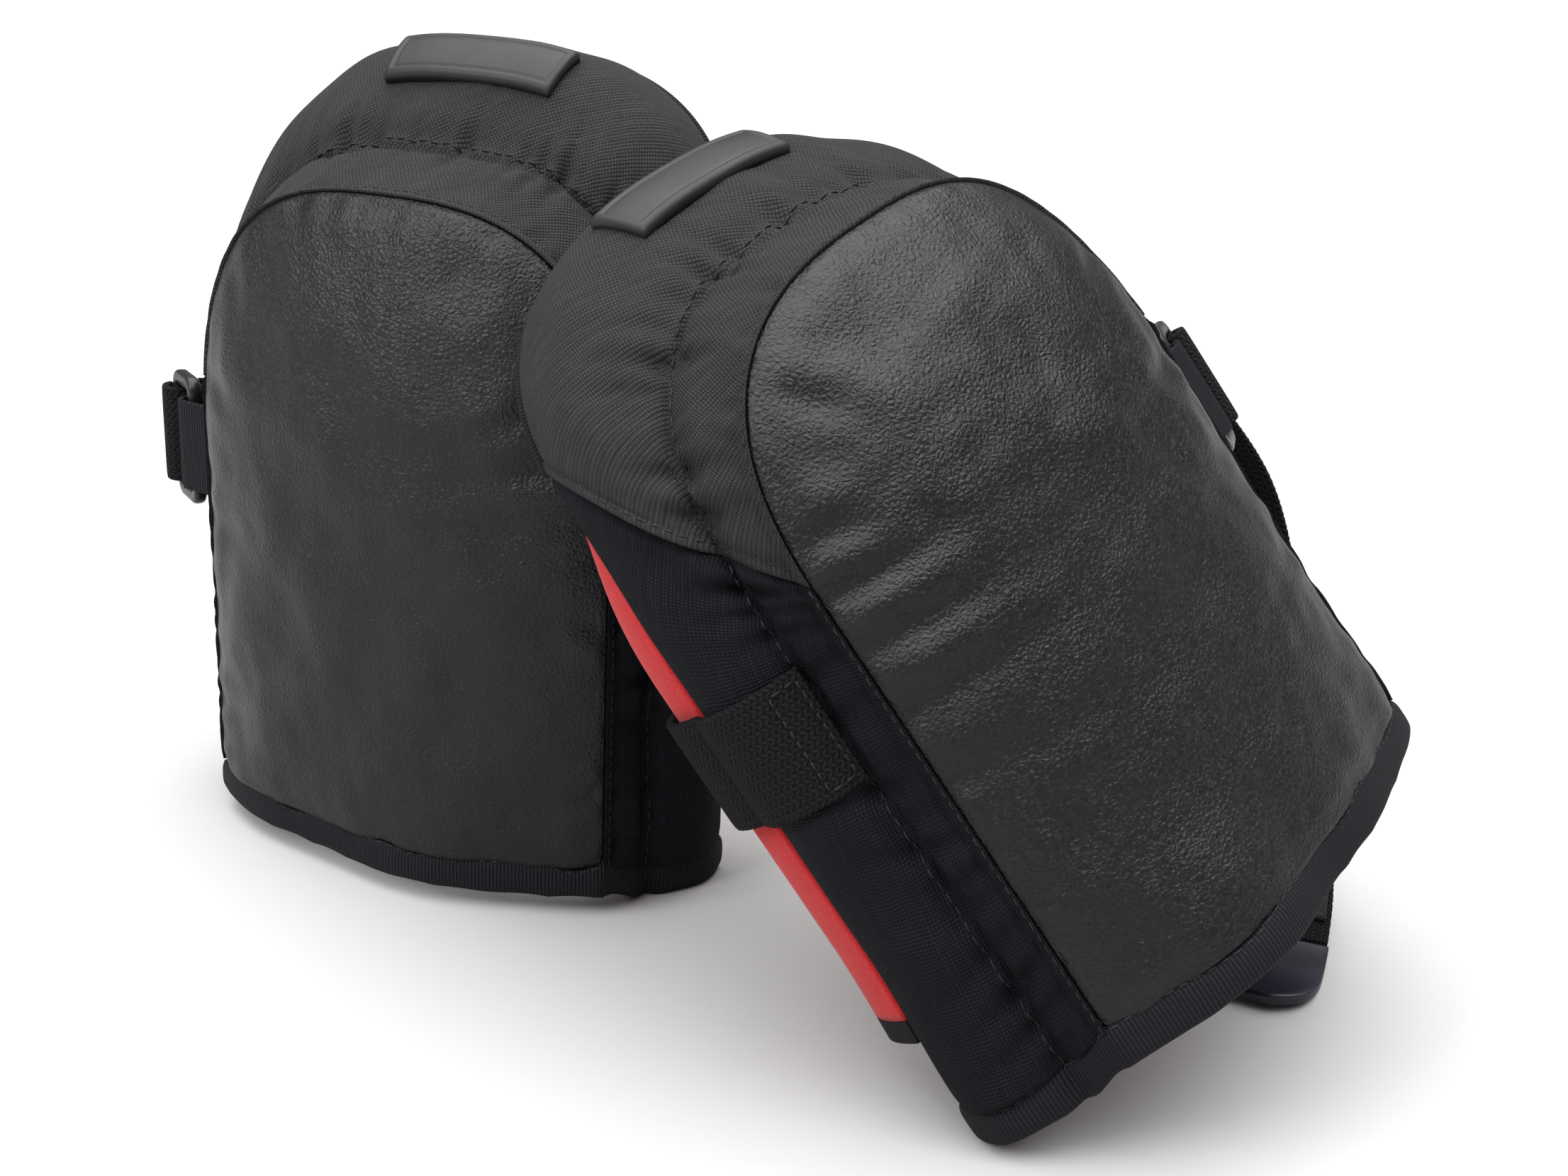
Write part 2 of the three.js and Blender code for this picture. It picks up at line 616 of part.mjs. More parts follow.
// hand is 1 for the right pad, with its ring on the right, and -1 for the left pad, its mirror image.
function knee(name, hand, tailPath) {
  const run = runPath();
  const pieces = [
    ['face_panel', facePanel(), PVC],
    ['crown_cover', crownCover(), WOVEN],
    ['side_cover_strap', sideCover(SIDE_STEPS), WOVEN],
    ['side_cover_ring', sideCover(FAR_SIDE_STEPS), WOVEN],
    ['crown_piping', crownPiping(), BINDING],
    ['bottom_binding', bottomBinding(), BINDING],
    ['hem_facing', hemFacing(), WOVEN],
    ['face_foam', foam(FACE_STEPS, true), FOAM],
    ['rim_foam', foam(WALL_STEPS, false), FOAM],
    ['lining', lining(), RED],
    ['lining_tape', liningTape(), BINDING],
    ['badge', badge(), RUBBER],
    ['strap_end', strapEnd(), WEBBING],
    ['strap_run', strapRun(run), WEBBING],
    ['loop_patch', loopPatch(run), SMOOTH],
    ['ring_tab', ringTab(), WEBBING],
    ['ring', ring(), PLASTIC],
    ['strap_fold', strapFold(), WEBBING],
  ];
  const tail = tailPieces(tailPath(run));
  pieces.push(['strap_tail', tail.strap_tail, WEBBING]);
  pieces.push(['tail_end', tail.tail_end, SMOOTH]);
  pieces.push(['hook_patch', tail.hook_patch, SMOOTH]);
  const group = new THREE.Group();
  for (const [piece, geometry, look] of pieces) {
    const shape = hand < 0 ? mirrored(geometry) : geometry;
    const mesh = new THREE.Mesh(shape, new THREE.MeshStandardMaterial(look));
    mesh.name = `${name}_${piece}`;
    group.add(mesh);
  }
  return group;
}

const pair = new THREE.Group();
const left = knee('left', -1, laidTailPath);
const right = knee('right', 1, looseTailPath);
right.position.set(...RIGHT_AT);
right.rotation.set(...RIGHT_TURN.map(THREE.MathUtils.degToRad), 'ZYX');
pair.add(left, right);

// The pair stands on z = 0, centred on the origin.
pair.updateMatrixWorld(true);
const box = new THREE.Box3().setFromObject(pair, true);
const centre = box.getCenter(new THREE.Vector3());
pair.position.set(-centre.x, -centre.y, -box.min.z);

export default pair;
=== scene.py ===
import math

import bmesh
import bpy
import numpy as np
from mathutils import Euler, Matrix, Vector


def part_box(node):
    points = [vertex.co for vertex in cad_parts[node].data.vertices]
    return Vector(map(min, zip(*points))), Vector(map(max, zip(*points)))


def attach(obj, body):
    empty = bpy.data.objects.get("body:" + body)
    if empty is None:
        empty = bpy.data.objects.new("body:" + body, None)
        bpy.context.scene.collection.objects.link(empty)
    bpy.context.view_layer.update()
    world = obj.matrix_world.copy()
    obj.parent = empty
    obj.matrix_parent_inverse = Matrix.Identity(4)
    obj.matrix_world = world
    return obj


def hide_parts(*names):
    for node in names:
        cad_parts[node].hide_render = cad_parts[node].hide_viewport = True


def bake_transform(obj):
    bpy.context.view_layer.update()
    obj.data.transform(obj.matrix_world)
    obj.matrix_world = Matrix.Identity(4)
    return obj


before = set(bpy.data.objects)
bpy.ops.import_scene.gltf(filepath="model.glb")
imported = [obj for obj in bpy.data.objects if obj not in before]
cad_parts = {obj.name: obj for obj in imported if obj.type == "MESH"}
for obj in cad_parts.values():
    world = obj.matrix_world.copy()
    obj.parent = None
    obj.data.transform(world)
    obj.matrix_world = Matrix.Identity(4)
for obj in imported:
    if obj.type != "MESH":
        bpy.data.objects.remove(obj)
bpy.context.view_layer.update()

# ---- sizes, mm and degrees
FACE_HALF_W, FACE_TOP, ARCH_Z, ARCH_POWER = 68.0, 186.0, 114.0, 2.7
FACE_BOW_SIDE, FACE_BOW_TOP, BOW_POWER = 19.0, 15.0, 2.5
SIDE_OUT, SIDE_BACK, CROWN_OUT, CROWN_BACK = 14.5, 43.0, 33.0, 74.0
WALL_LEAVES, WALL_ENDS, WALL_FULLNESS = 81.0, 111.0, 0.49
INNER_EDGE, FLOOR_DEPTH, RIM_T = 13.0, 18.0, 11.0
INNER_LEAVES, INNER_ENDS, INNER_FULLNESS = 84.0, 104.0, 0.4
SKIN_T, GAP, LINING_T = 1.2, 0.3, 6.0
QUILT_AT, QUILT_DEPTH, QUILT_WIDTH = 0.29, 2.2, 0.06
SEAM_LOW, SEAM_HIGH = 0.03, 0.22
SHELL_Z0, BIND_Z0, BIND_Z1, BIND_T = 5.3, -5.0, 5.0, 6.0
FOOT_DROP, FOOT_FULL_AT = 5.0, 0.28
LINING_Z0, TAPE_H, HEM_T = 25.0, 6.0, 1.5
ROLL_BACK, ROLL_TOP_BACK, ROLL_FROM, ROLL_FULL = 17.0, 2.0, 0.3, 1.02
ROLL_OPENS, ROLL_START, ROLL_BLUNT = 0.2, 0.8, 0.97
SWAY, SWAY_WALL, SWAY_FROM, SWAY_TO = 1.5, 45.0, -2.0, 46.0
PIPING_IN, PIPING_WIDE, PIPING_HIGH = 1.5, 1.55, 1.35
BADGE_HALF_X, BADGE_FRONT, BADGE_BACK, BADGE_T = 22.5, 0.51, 0.74, 2.6
STRAP_W, STRAP_T, STRAP_Z, STRAP_END_AT, PATCH_T = 30.0, 2.2, 98.0, 0.27, 1.0
KNIT_PITCH, KNIT_COLUMN, FRAY = 1.75, 1.25, 0.25
SEWN_BOX_FROM, SEWN_BOX_TO, SEWN_BOX_HALF = 0.3, 0.44, 12.6
TAIL_END_T, TAIL_END_SHARE, HOOK_SHARE = 3.2, 0.8, 0.35
RING_BAR, RING_T, RING_SLOT_H, RING_PITCH = 4.4, 4.0, 31.6, 15.0
RING_X, RING_Y, RING_SWING, RING_CORNER = 91.0, 40.0, 32.0, 2.6
TAB_W, TAB_T, TAB_BORE, FOLD_R = 28.0, 1.6, 3.3, 4.5
TAB_TURN_FROM, TAB_TURN_TO, TAB_FRAY = 138.0, -62.0, 0.3
FOLD_FROM, FOLD_TO, FOLD_GAP, TAIL_HINGE = 165.0, 340.0, 6.0, 360.0
RIGHT_AT = np.array([262.4, 24.6, 56.6])
RIGHT_TURN = (-33.32, -18.63, 74.88)
MM = 0.001


# ---- the pad's shape
def lerp(a, b, t):
    return a + (b - a) * t


def smooth(a, b, x):
    t = np.clip((np.asarray(x, float) - a) / (b - a), 0, 1)
    return t * t * (3 - 2 * t)


def bump(x, centre, width):
    return np.exp(-(((x - centre) / width) ** 2))


class Station:
    """Points on the face panel's outline and the outline's direction outwards there."""

    def __init__(self, x, z, nx, nz):
        self.x, self.z, self.nx, self.nz = np.broadcast_arrays(x, z, nx, nz)


def station(k, z0):
    k = np.asarray(k, float)
    mid = np.clip(k, 1e-9, 1 - 1e-9)
    c, s = -np.cos(np.pi * mid), np.sin(np.pi * mid)
    rise = FACE_TOP - ARCH_Z
    nx = np.sign(c) * np.abs(c) ** (2 - 2 / ARCH_POWER)
    nz = s ** (2 - 2 / ARCH_POWER) * FACE_HALF_W / rise
    length = np.hypot(nx, nz)
    x = np.sign(c) * FACE_HALF_W * np.abs(c) ** (2 / ARCH_POWER)
    z = ARCH_Z + rise * s ** (2 / ARCH_POWER)
    low, high = k <= 0, k >= 1
    x = np.where(low, -FACE_HALF_W, np.where(high, FACE_HALF_W, x))
    z = np.where(low, lerp(ARCH_Z, z0, -k), np.where(high, lerp(ARCH_Z, z0, k - 1), z))
    nx = np.where(low, -1.0, np.where(high, 1.0, nx / length))
    nz = np.where(low | high, 0.0, nz / length)
    return Station(x, z, nx, nz)


def face_y(x, z):
    bow = FACE_BOW_SIDE * np.abs(x / FACE_HALF_W) ** BOW_POWER
    return bow + FACE_BOW_TOP * (np.maximum(z - ARCH_Z, 0) / (FACE_TOP - ARCH_Z)) ** 2


def wall_profile(v, out, back, leaves, ends, fullness):
    handle = np.hypot(out, back) * fullness
    a, b = math.radians(leaves), math.radians(ends)
    first, second, third = 3 * v * (1 - v) ** 2, 3 * v * v * (1 - v), v**3
    return (
        first * handle * math.cos(a) + second * (out - handle * math.cos(b)) + third * out,
        first * handle * math.sin(a) + second * (back - handle * math.sin(b)) + third * back,
    )


def outer_point(st, v):
    v = np.asarray(v, float)
    low = np.minimum(v, 0)
    x_face = (1 + low) * st.x
    z_face = lerp(np.minimum(st.z, ARCH_Z), st.z, 1 + low)
    crown = st.nz**2
    wall = np.maximum(v, 0)
    out, back = wall_profile(
        wall,
        lerp(SIDE_OUT, CROWN_OUT, crown),
        lerp(SIDE_BACK, CROWN_BACK, crown),
        WALL_LEAVES,
        WALL_ENDS,
        WALL_FULLNESS,
    )
    on_face = v <= 0
    return np.stack(
        [
            np.where(on_face, x_face, st.x + out * st.nx),
            np.where(on_face, face_y(x_face, z_face), face_y(st.x, st.z) + back),
            np.where(on_face, z_face, st.z + out * st.nz),
        ],
        -1,
    )


def inner_point(st, v):
    v = np.asarray(v, float)
    low = np.minimum(v, 0)
    outer = outer_point(st, v)
    crown = st.nz**2
    out, back = wall_profile(
        np.maximum(v, 0),
        lerp(SIDE_OUT, CROWN_OUT, crown) - RIM_T + INNER_EDGE,
        lerp(SIDE_BACK, CROWN_BACK, crown) - FLOOR_DEPTH,
        INNER_LEAVES,
        INNER_ENDS,
        INNER_FULLNESS,
    )
    reach = out - INNER_EDGE
    on_face = v <= 0
    x_face = (1 + low) * (st.x - INNER_EDGE * st.nx)
    z_face = lerp(np.minimum(st.z, ARCH_Z), st.z - INNER_EDGE * st.nz, 1 + low)
    return np.stack(
        [
            np.where(on_face, x_face, st.x + reach * st.nx),
            np.where(on_face, outer[..., 1] + FLOOR_DEPTH, face_y(st.x, st.z) + FLOOR_DEPTH + back),
            np.where(on_face, z_face, st.z + reach * st.nz),
        ],
        -1,
    )


def unit(a):
    return a / np.maximum(np.linalg.norm(a, axis=-1, keepdims=True), 1e-9)


def quilting(v):
    return QUILT_DEPTH * bump(v, QUILT_AT, QUILT_WIDTH)


def at(st, v, depth):
    """The point at a depth below the outside; a negative depth stands outside the pad."""
    outer = outer_point(st, v)
    inwards = unit(inner_point(st, v) - outer)
    return outer + inwards * (depth + quilting(v) + sway(st, v))[..., None]


def at_inner(st, v, height):
    inner = inner_point(st, v)
    outwards = unit(outer_point(st, v) - inner)
    return inner + outwards * (height - sway(st, v))[..., None]


def foot_drop(v):
    return FOOT_DROP * smooth(0, FOOT_FULL_AT, v)


class Waves:
    """A smooth random field: a sum of seeded plane waves about one size in mm."""

    def __init__(self, seed, size, count=20):
        rng = np.random.RandomState(seed)
        angle = rng.uniform(0, 2 * np.pi, count)
        rate = 2 * np.pi / size * rng.uniform(0.6, 1.4, count)
        self.kx, self.ky = rate * np.cos(angle), rate * np.sin(angle)
        self.phase = rng.uniform(0, 2 * np.pi, count)

    def __call__(self, x, y):
        total = 0
        for kx, ky, phase in zip(self.kx, self.ky, self.phase):
            total = total + np.cos(kx * x + ky * y + phase)
        return total * math.sqrt(2 / len(self.kx))


hand_now = 1  # 1 while the right pad is built, -1 while the left one is
edge_waves = {1: Waves(11, 62), -1: Waves(23, 62)}


def sway(st, v):
    """How far the whole thickness leans in near the soft lower edge."""
    on_face = st.x * (1 + np.minimum(v, 0))
    on_wall = np.sign(st.x) * (FACE_HALF_W + SWAY_WALL * np.maximum(v, 0))
    round_edge = np.where(np.asarray(v) <= 0, on_face, on_wall)
    share = 1 - smooth(SWAY_FROM, SWAY_TO, st.z)
    return SWAY * share * edge_waves[hand_now](round_edge, 0 * round_edge)


def grid_station(f, v, z0):
    """f runs round the pad: 0 to 1 over the crown, and on to -2 and 3 along the two sides."""
    f, v = np.broadcast_arrays(np.asarray(f, float), np.asarray(v, float))
    seam = lerp(SEAM_LOW, SEAM_HIGH, np.clip(v, 0, 1))
    mirror = f > 0.5
    g = np.where(mirror, 1 - f, f)
    k = np.where(g >= 0, lerp(seam, 1 - seam, g), np.where(g < -1, g + 1, (g + 1) * seam))
    st = station(k, z0)
    sign = np.where(mirror, -1, 1)
    return Station(st.x * sign, st.z, st.nx * sign, st.nz)


def roll_point(st, t, side, share):
    """The lining's roll behind the back edge: t runs from 0 at the edge to 1 at the roll's tip."""
    inner = inner_point(st, 1.0)
    outwards = unit(outer_point(st, 1.0) - inner)
    full = lerp(LINING_T, RIM_T - 2 * GAP, share)
    width = lerp(LINING_T, full, smooth(0, ROLL_OPENS, t))
    tip = np.maximum(t - ROLL_OPENS, 0) / (1 - ROLL_OPENS)
    half = width / 2 * np.sqrt(1 - ROLL_BLUNT * tip * tip)
    reach = lerp(ROLL_TOP_BACK, ROLL_BACK, share)
    back = np.where(t < ROLL_OPENS, lerp(0, ROLL_START, t / ROLL_OPENS), lerp(ROLL_START, reach, tip))
    half = half if side == 0 else -half
    point = inner + outwards * (width / 2 + half - sway(st, 1.0))[..., None]
    point[..., 1] += back
    return point


def roll_share(st):
    return smooth(ROLL_FROM, ROLL_FULL, 1 - st.nz)


# ---- mesh building
def left_origin():
    low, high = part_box("left_bottom_binding")
    return np.array([(low.x + high.x) / 2, low.y, low.z + (FOOT_DROP - BIND_Z0) * MM])


ORIGIN = left_origin()
TURN = np.array(Euler([math.radians(a) for a in RIGHT_TURN], "XYZ").to_matrix())
WELD = 2e-5
STITCH_SHARE, STITCH_LIFT, STITCH_SIDES, STITCH_STEP = 0.72, 0.35, 6, 0.05
# One stitch from end to end, as shares of its length and of its radius.
STITCH_AT = np.array([0, 0.08, 0.25, 0.5, 0.75, 0.92, 1])
STITCH_THICK = np.array([0.25, 0.72, 0.96, 1, 0.96, 0.72, 0.25])
STITCH_RISE = np.array([-0.7, -0.25, 0.3, 0.5, 0.3, -0.25, -0.7])


def to_row(points):
    """Pad-local mm, for the hand being built, to metres in the row frame."""
    p = np.array(points, float)
    if hand_now < 0:
        return p * np.array([-1, 1, 1]) * MM + ORIGIN
    return (p @ TURN.T + RIGHT_AT) * MM + ORIGIN


def new_object(name, points, faces, cloth=None, weld=0.0):
    mesh = bpy.data.meshes.new(name)
    mesh.from_pydata(to_row(points).tolist(), [], faces)
    if cloth is not None:
        data = mesh.attributes.new("cloth", "FLOAT_VECTOR", "POINT")
        data.data.foreach_set("vector", np.asarray(cloth, np.float32).ravel())
    work = bmesh.new()
    work.from_mesh(mesh)
    if weld:
        bmesh.ops.remove_doubles(work, verts=work.verts, dist=weld)
    bmesh.ops.recalc_face_normals(work, faces=work.faces)
    work.to_mesh(mesh)
    work.free()
    mesh.polygons.foreach_set("use_smooth", [True] * len(mesh.polygons))
    obj = bpy.data.objects.new(name, mesh)
    bpy.context.scene.collection.objects.link(obj)
    return obj


def slab(name, outer, inner, cloth, weld=0.0, open_start=False):
    """A closed mesh between two equal grids of points, shaped (nu, nv, 3)."""
    a, b = np.arange(2 * outer.shape[0] * outer.shape[1]).reshape(2, *outer.shape[:2])
    quads = [
        np.stack([a[:-1, :-1], a[1:, :-1], a[1:, 1:], a[:-1, 1:]], -1).reshape(-1, 4),
        np.stack([b[:-1, :-1], b[:-1, 1:], b[1:, 1:], b[1:, :-1]], -1).reshape(-1, 4),
        np.stack([a[:-1, -1], a[1:, -1], b[1:, -1], b[:-1, -1]], -1),
        np.stack([a[0, :-1], a[0, 1:], b[0, 1:], b[0, :-1]], -1),
        np.stack([a[-1, :-1], b[-1, :-1], b[-1, 1:], a[-1, 1:]], -1),
    ]
    if not open_start:
        quads.append(np.stack([a[:-1, 0], b[:-1, 0], b[1:, 0], a[1:, 0]], -1))
    points = np.concatenate([outer.reshape(-1, 3), inner.reshape(-1, 3)])
    both = np.concatenate([cloth.reshape(-1, 3)] * 2)
    return new_object(name, points, np.concatenate(quads).tolist(), both, weld)


def tube_faces(count, sides):
    """The point numbers of a tube's rings, and the faces between them."""
    ids = np.arange(count * sides).reshape(count, sides)
    after = np.roll(ids, -1, 1)
    return ids, np.stack([ids[:-1], after[:-1], after[1:], ids[1:]], -1).reshape(-1, 4)


def tube(name, rings, cloth=None, closed=False):
    """A closed mesh through rings of points, shaped (n, m, 3)."""
    ids, quads = tube_faces(*rings.shape[:2])
    first, last = ids[0], ids[-1]
    faces = quads.tolist()
    if closed:
        faces += np.stack([last, np.roll(last, -1), np.roll(first, -1), first], -1).tolist()
    else:
        faces += [first.tolist()[::-1], last.tolist()]
    flat = None if cloth is None else cloth.reshape(-1, 3)
    return new_object(name, rings.reshape(-1, 3), faces, flat)


def along(points, axis):
    """Distance run along one axis of a grid of points."""
    step = np.linalg.norm(np.diff(points, axis=axis), axis=-1)
    zero = np.zeros_like(np.take(step, [0], axis=axis))
    return np.concatenate([zero, np.cumsum(step, axis=axis)], axis=axis)


def grid_cloth(points):
    """Distances run both ways over a grid of points, for its weave."""
    u, v = along(points, 0), along(points, 1)
    return np.stack([u, v, 0 * v], -1)


def stitches(name, path, normal, pitch, radius, sink=0.05):
    """A row of short raised threads along a path of points, as one mesh."""
    normal = unit(normal)
    run = along(path, 0)
    count = max(int(run[-1] / pitch), 1)
    starts = (np.arange(count) + 0.5 * (1 - STITCH_SHARE)) * run[-1] / count
    s = starts[:, None] + STITCH_AT * (STITCH_SHARE * run[-1] / count)

    def at_run(values, s):
        return np.stack([np.interp(s, run, values[:, c]) for c in range(3)], -1)

    up = unit(at_run(normal, s))
    tangent = unit(at_run(path, s + STITCH_STEP) - at_run(path, s - STITCH_STEP))
    across = unit(np.cross(tangent, up))
    lift = STITCH_RISE * radius + radius * STITCH_LIFT - sink
    centre = at_run(path, s) + up * lift[None, :, None]
    angles = np.linspace(0, 2 * np.pi, STITCH_SIDES, endpoint=False)[None, None, :, None]
    ring = across[:, :, None] * np.cos(angles) + up[:, :, None] * np.sin(angles)
    rings = centre[:, :, None] + ring * (radius * STITCH_THICK)[None, :, None, None]
    ids, quads = tube_faces(len(STITCH_AT), STITCH_SIDES)
    faces = []
    for first in range(0, count * ids.size, ids.size):
        faces += (quads + first).tolist()
        faces += [(ids[0][::-1] + first).tolist(), (ids[-1] + first).tolist()]
    cloth = np.repeat(s.reshape(-1, 1), 3, 1).repeat(STITCH_SIDES, 0)
    return new_object(name, rings.reshape(-1, 3), faces, cloth)


# ---- materials
class Nodes:
    """A small wrapper that builds the node tree of a material or a world."""

    def __init__(self, owner):
        owner.use_nodes = True
        self.owner = owner
        self.tree = owner.node_tree

    def put(self, socket, value):
        if isinstance(value, bpy.types.NodeSocket):
            self.tree.links.new(value, socket)
        else:
            socket.default_value = value

    def add(self, kind, inputs=(), output=0, **settings):
        """A new node's output; inputs are named or numbered."""
        node = self.tree.nodes.new(kind)
        for key, value in settings.items():
            setattr(node, key, value)
        for key, value in dict(inputs).items():
            self.put(node.inputs[key], value)
        return node.outputs[output]

    def cloth(self):
        """Where a point is on its cloth, in mm."""
        return self.add("ShaderNodeAttribute", (), "Vector", attribute_name="cloth")

    def place(self):
        """Where a point is in the row frame, in metres."""
        return self.add("ShaderNodeTexCoord", (), "Object")

    def math(self, operation, a, b=0.0):
        return self.add("ShaderNodeMath", {0: a, 1: b}, operation=operation)

    def plus(self, a, b):
        return self.math("ADD", a, b)

    def times(self, a, b):
        return self.math("MULTIPLY", a, b)

    def power(self, a, b):
        return self.math("POWER", a, b)

    def wave(self, value, period):
        return self.math("SINE", self.times(value, 2 * math.pi / period))

    def turn(self, vector, degrees):
        inputs = {"Vector": vector, "Angle": math.radians(degrees)}
        return self.add("ShaderNodeVectorRotate", inputs, rotation_type="Z_AXIS")

    def scale(self, vector, by):
        return self.add("ShaderNodeVectorMath", {0: vector, 1: by}, operation="MULTIPLY")

    def xyz(self, vector):
        return tuple(self.add("ShaderNodeSeparateXYZ", {0: vector}).node.outputs)

    def noise(self, vector, scale, detail=2.0, rough=0.5, distortion=0.0, output=0):
        inputs = {"Vector": vector, "Scale": scale, "Detail": detail, "Roughness": rough}
        inputs["Distortion"] = distortion
        return self.add("ShaderNodeTexNoise", inputs, output)

    def voronoi(self, vector, scale, feature):
        inputs = {"Vector": vector, "Scale": scale}
        return self.add("ShaderNodeTexVoronoi", inputs, "Distance", feature=feature)

    def ramp(self, value, low, high, a=0.0, b=1.0, kind="LINEAR"):
        inputs = {"Value": value, "From Min": low, "From Max": high, "To Min": a, "To Max": b}
        return self.add("ShaderNodeMapRange", inputs, interpolation_type=kind)

    def mix(self, share, a, b):
        return self.add("ShaderNodeMix", {0: share, 6: a, 7: b}, 2, data_type="RGBA")

    def bump(self, height, distance, strength=1.0):
        inputs = {"Height": height, "Distance": distance, "Strength": strength}
        return self.add("ShaderNodeBump", inputs)

    def finish(self, **inputs):
        shader = self.tree.nodes["Principled BSDF"]
        for key, value in inputs.items():
            self.put(shader.inputs[key.replace("_", " ")], value)
        return self.owner


def new_nodes(name):
    return Nodes(bpy.data.materials.new(name))


def rgb(r, g, b):
    """sRGB 0 to 255 to linear RGBA."""
    shares = (c / 255 for c in (r, g, b))
    return (*(c / 12.92 if c <= 0.04045 else ((c + 0.055) / 1.055) ** 2.4 for c in shares), 1.0)


def grained_pvc():
    """Coated fabric: small uneven cells with wrinkles between them."""
    warp_by = (0.0016, 0.0016, 0.0016)
    m = new_nodes("grained_pvc")
    place = m.place()
    warp = m.noise(place, 330.0, output="Color")
    bent = m.add("ShaderNodeVectorMath", {0: warp, 1: warp_by, 2: place}, operation="MULTIPLY_ADD")
    cells = m.ramp(m.voronoi(bent, 700.0, "DISTANCE_TO_EDGE"), 0.0, 0.42)
    wrinkles = m.noise(bent, 980.0, 2.5, 0.55, 0.6)
    fine = m.noise(place, 1500.0, 3.0, 0.6)
    broad = m.noise(place, 26.0, 3.0)
    height = m.plus(m.times(cells, 0.45), m.times(wrinkles, 0.9))
    normal = m.bump(m.plus(height, m.times(fine, 0.12)), 0.0003)
    shade = m.mix(m.ramp(cells, 0.0, 1.0, 0.35), rgb(7, 7, 8), rgb(15, 15, 18))
    shade = m.mix(m.ramp(broad, 0.35, 0.7, 0.0, 0.5), shade, rgb(11, 11, 15))
    rough = m.plus(m.ramp(broad, 0.3, 0.7, 0.36, 0.45), m.ramp(fine, 0.3, 0.7, -0.04, 0.05))
    return m.finish(Base_Color=shade, Roughness=rough, Normal=normal, Specular_IOR_Level=0.28)


def woven(name, pitch, angle, dark, light, depth, spec):
    """Plain weave of thick yarns: pillows that alternate between warp and weft."""
    m = new_nodes(name)
    cloth = m.cloth()
    turned = m.turn(cloth, angle)
    x, y, _ = m.xyz(turned)
    x = m.plus(x, m.ramp(m.noise(cloth, 0.11), 0.3, 0.7, -0.35, 0.35))
    a, b = m.wave(x, 2 * pitch), m.wave(y, 2 * pitch)
    over = m.math("GREATER_THAN", m.times(a, b), 0.0)
    under = m.math("SUBTRACT", 1.0, over)
    wide, high = m.math("ABSOLUTE", a), m.math("ABSOLUTE", b)
    warp = m.times(m.power(wide, 0.45), m.power(high, 0.9))
    weft = m.times(m.power(high, 0.45), m.power(wide, 0.9))
    height = m.plus(m.times(over, warp), m.times(under, weft))
    fibre_a = m.noise(m.scale(turned, (9.0, 0.9, 1.0)), 1.0)
    fibre_b = m.noise(m.scale(turned, (0.9, 9.0, 1.0)), 1.0)
    fibre = m.plus(m.times(over, fibre_a), m.times(under, fibre_b))
    normal = m.bump(m.plus(height, m.times(fibre, 0.25)), depth)
    slub = m.noise(m.scale(turned, (0.05, 1.0 / pitch, 1.0)), 1.0, 1.0)
    tone = m.plus(m.ramp(height, 0.1, 0.95, 0.0, 0.8), m.ramp(slub, 0.35, 0.7, -0.12, 0.25))
    broad = m.noise(m.place(), 18.0, 3.0)
    shade = m.mix(m.ramp(broad, 0.4, 0.7, 0.0, 0.25), m.mix(tone, dark, light), dark)
    rough = m.ramp(fibre, 0.3, 0.7, 0.7, 0.86)
    return m.finish(Base_Color=shade, Roughness=rough, Normal=normal, Specular_IOR_Level=spec)


def grosgrain():
    """Ribbed tape: ribs across it every 1.05 mm, and fine picks along it."""
    m = new_nodes("grosgrain")
    cloth = m.cloth()
    x, y, _ = m.xyz(cloth)
    jitter = m.noise(cloth, 0.8)
    rib = m.wave(m.plus(x, m.times(jitter, 0.25)), 1.05)
    rib = m.power(m.ramp(rib, -1.0, 1.0), 0.7)
    height = m.plus(rib, m.ramp(m.wave(y, 0.5), -1.0, 1.0, 0.0, 0.22))
    normal = m.bump(height, 0.0003)
    shade = m.mix(m.ramp(rib, 0.0, 1.0), rgb(7, 7, 9), rgb(25, 24, 30))
    return m.finish(Base_Color=shade, Roughness=0.72, Normal=normal, Specular_IOR_Level=0.14)


def knitted():
    """Chunky knitted elastic: rows of V shaped stitches along the strap."""
    m = new_nodes("knitted_elastic")
    cloth = m.cloth()
    x, y, _ = m.xyz(cloth)
    column = m.math("PINGPONG", y, KNIT_COLUMN)
    jitter = m.noise(cloth, 0.7)
    phase = m.plus(m.plus(x, m.times(column, 0.85)), m.times(jitter, 0.35))
    rows = m.power(m.ramp(m.wave(phase, KNIT_PITCH), -1.0, 1.0), 0.6)
    rib = m.power(m.math("ABSOLUTE", m.wave(y, 2 * KNIT_COLUMN)), 0.5)
    fibre = m.noise(cloth, 4.5, 3.0)
    height = m.plus(m.times(rows, 0.8), m.times(rib, 0.5))
    height = m.plus(height, m.times(fibre, 0.3))
    normal = m.bump(height, 0.0006)
    shade = m.mix(m.ramp(height, 0.3, 1.4), rgb(5, 5, 6), rgb(22, 22, 25))
    return m.finish(Base_Color=shade, Roughness=0.82, Normal=normal, Specular_IOR_Level=0.1)


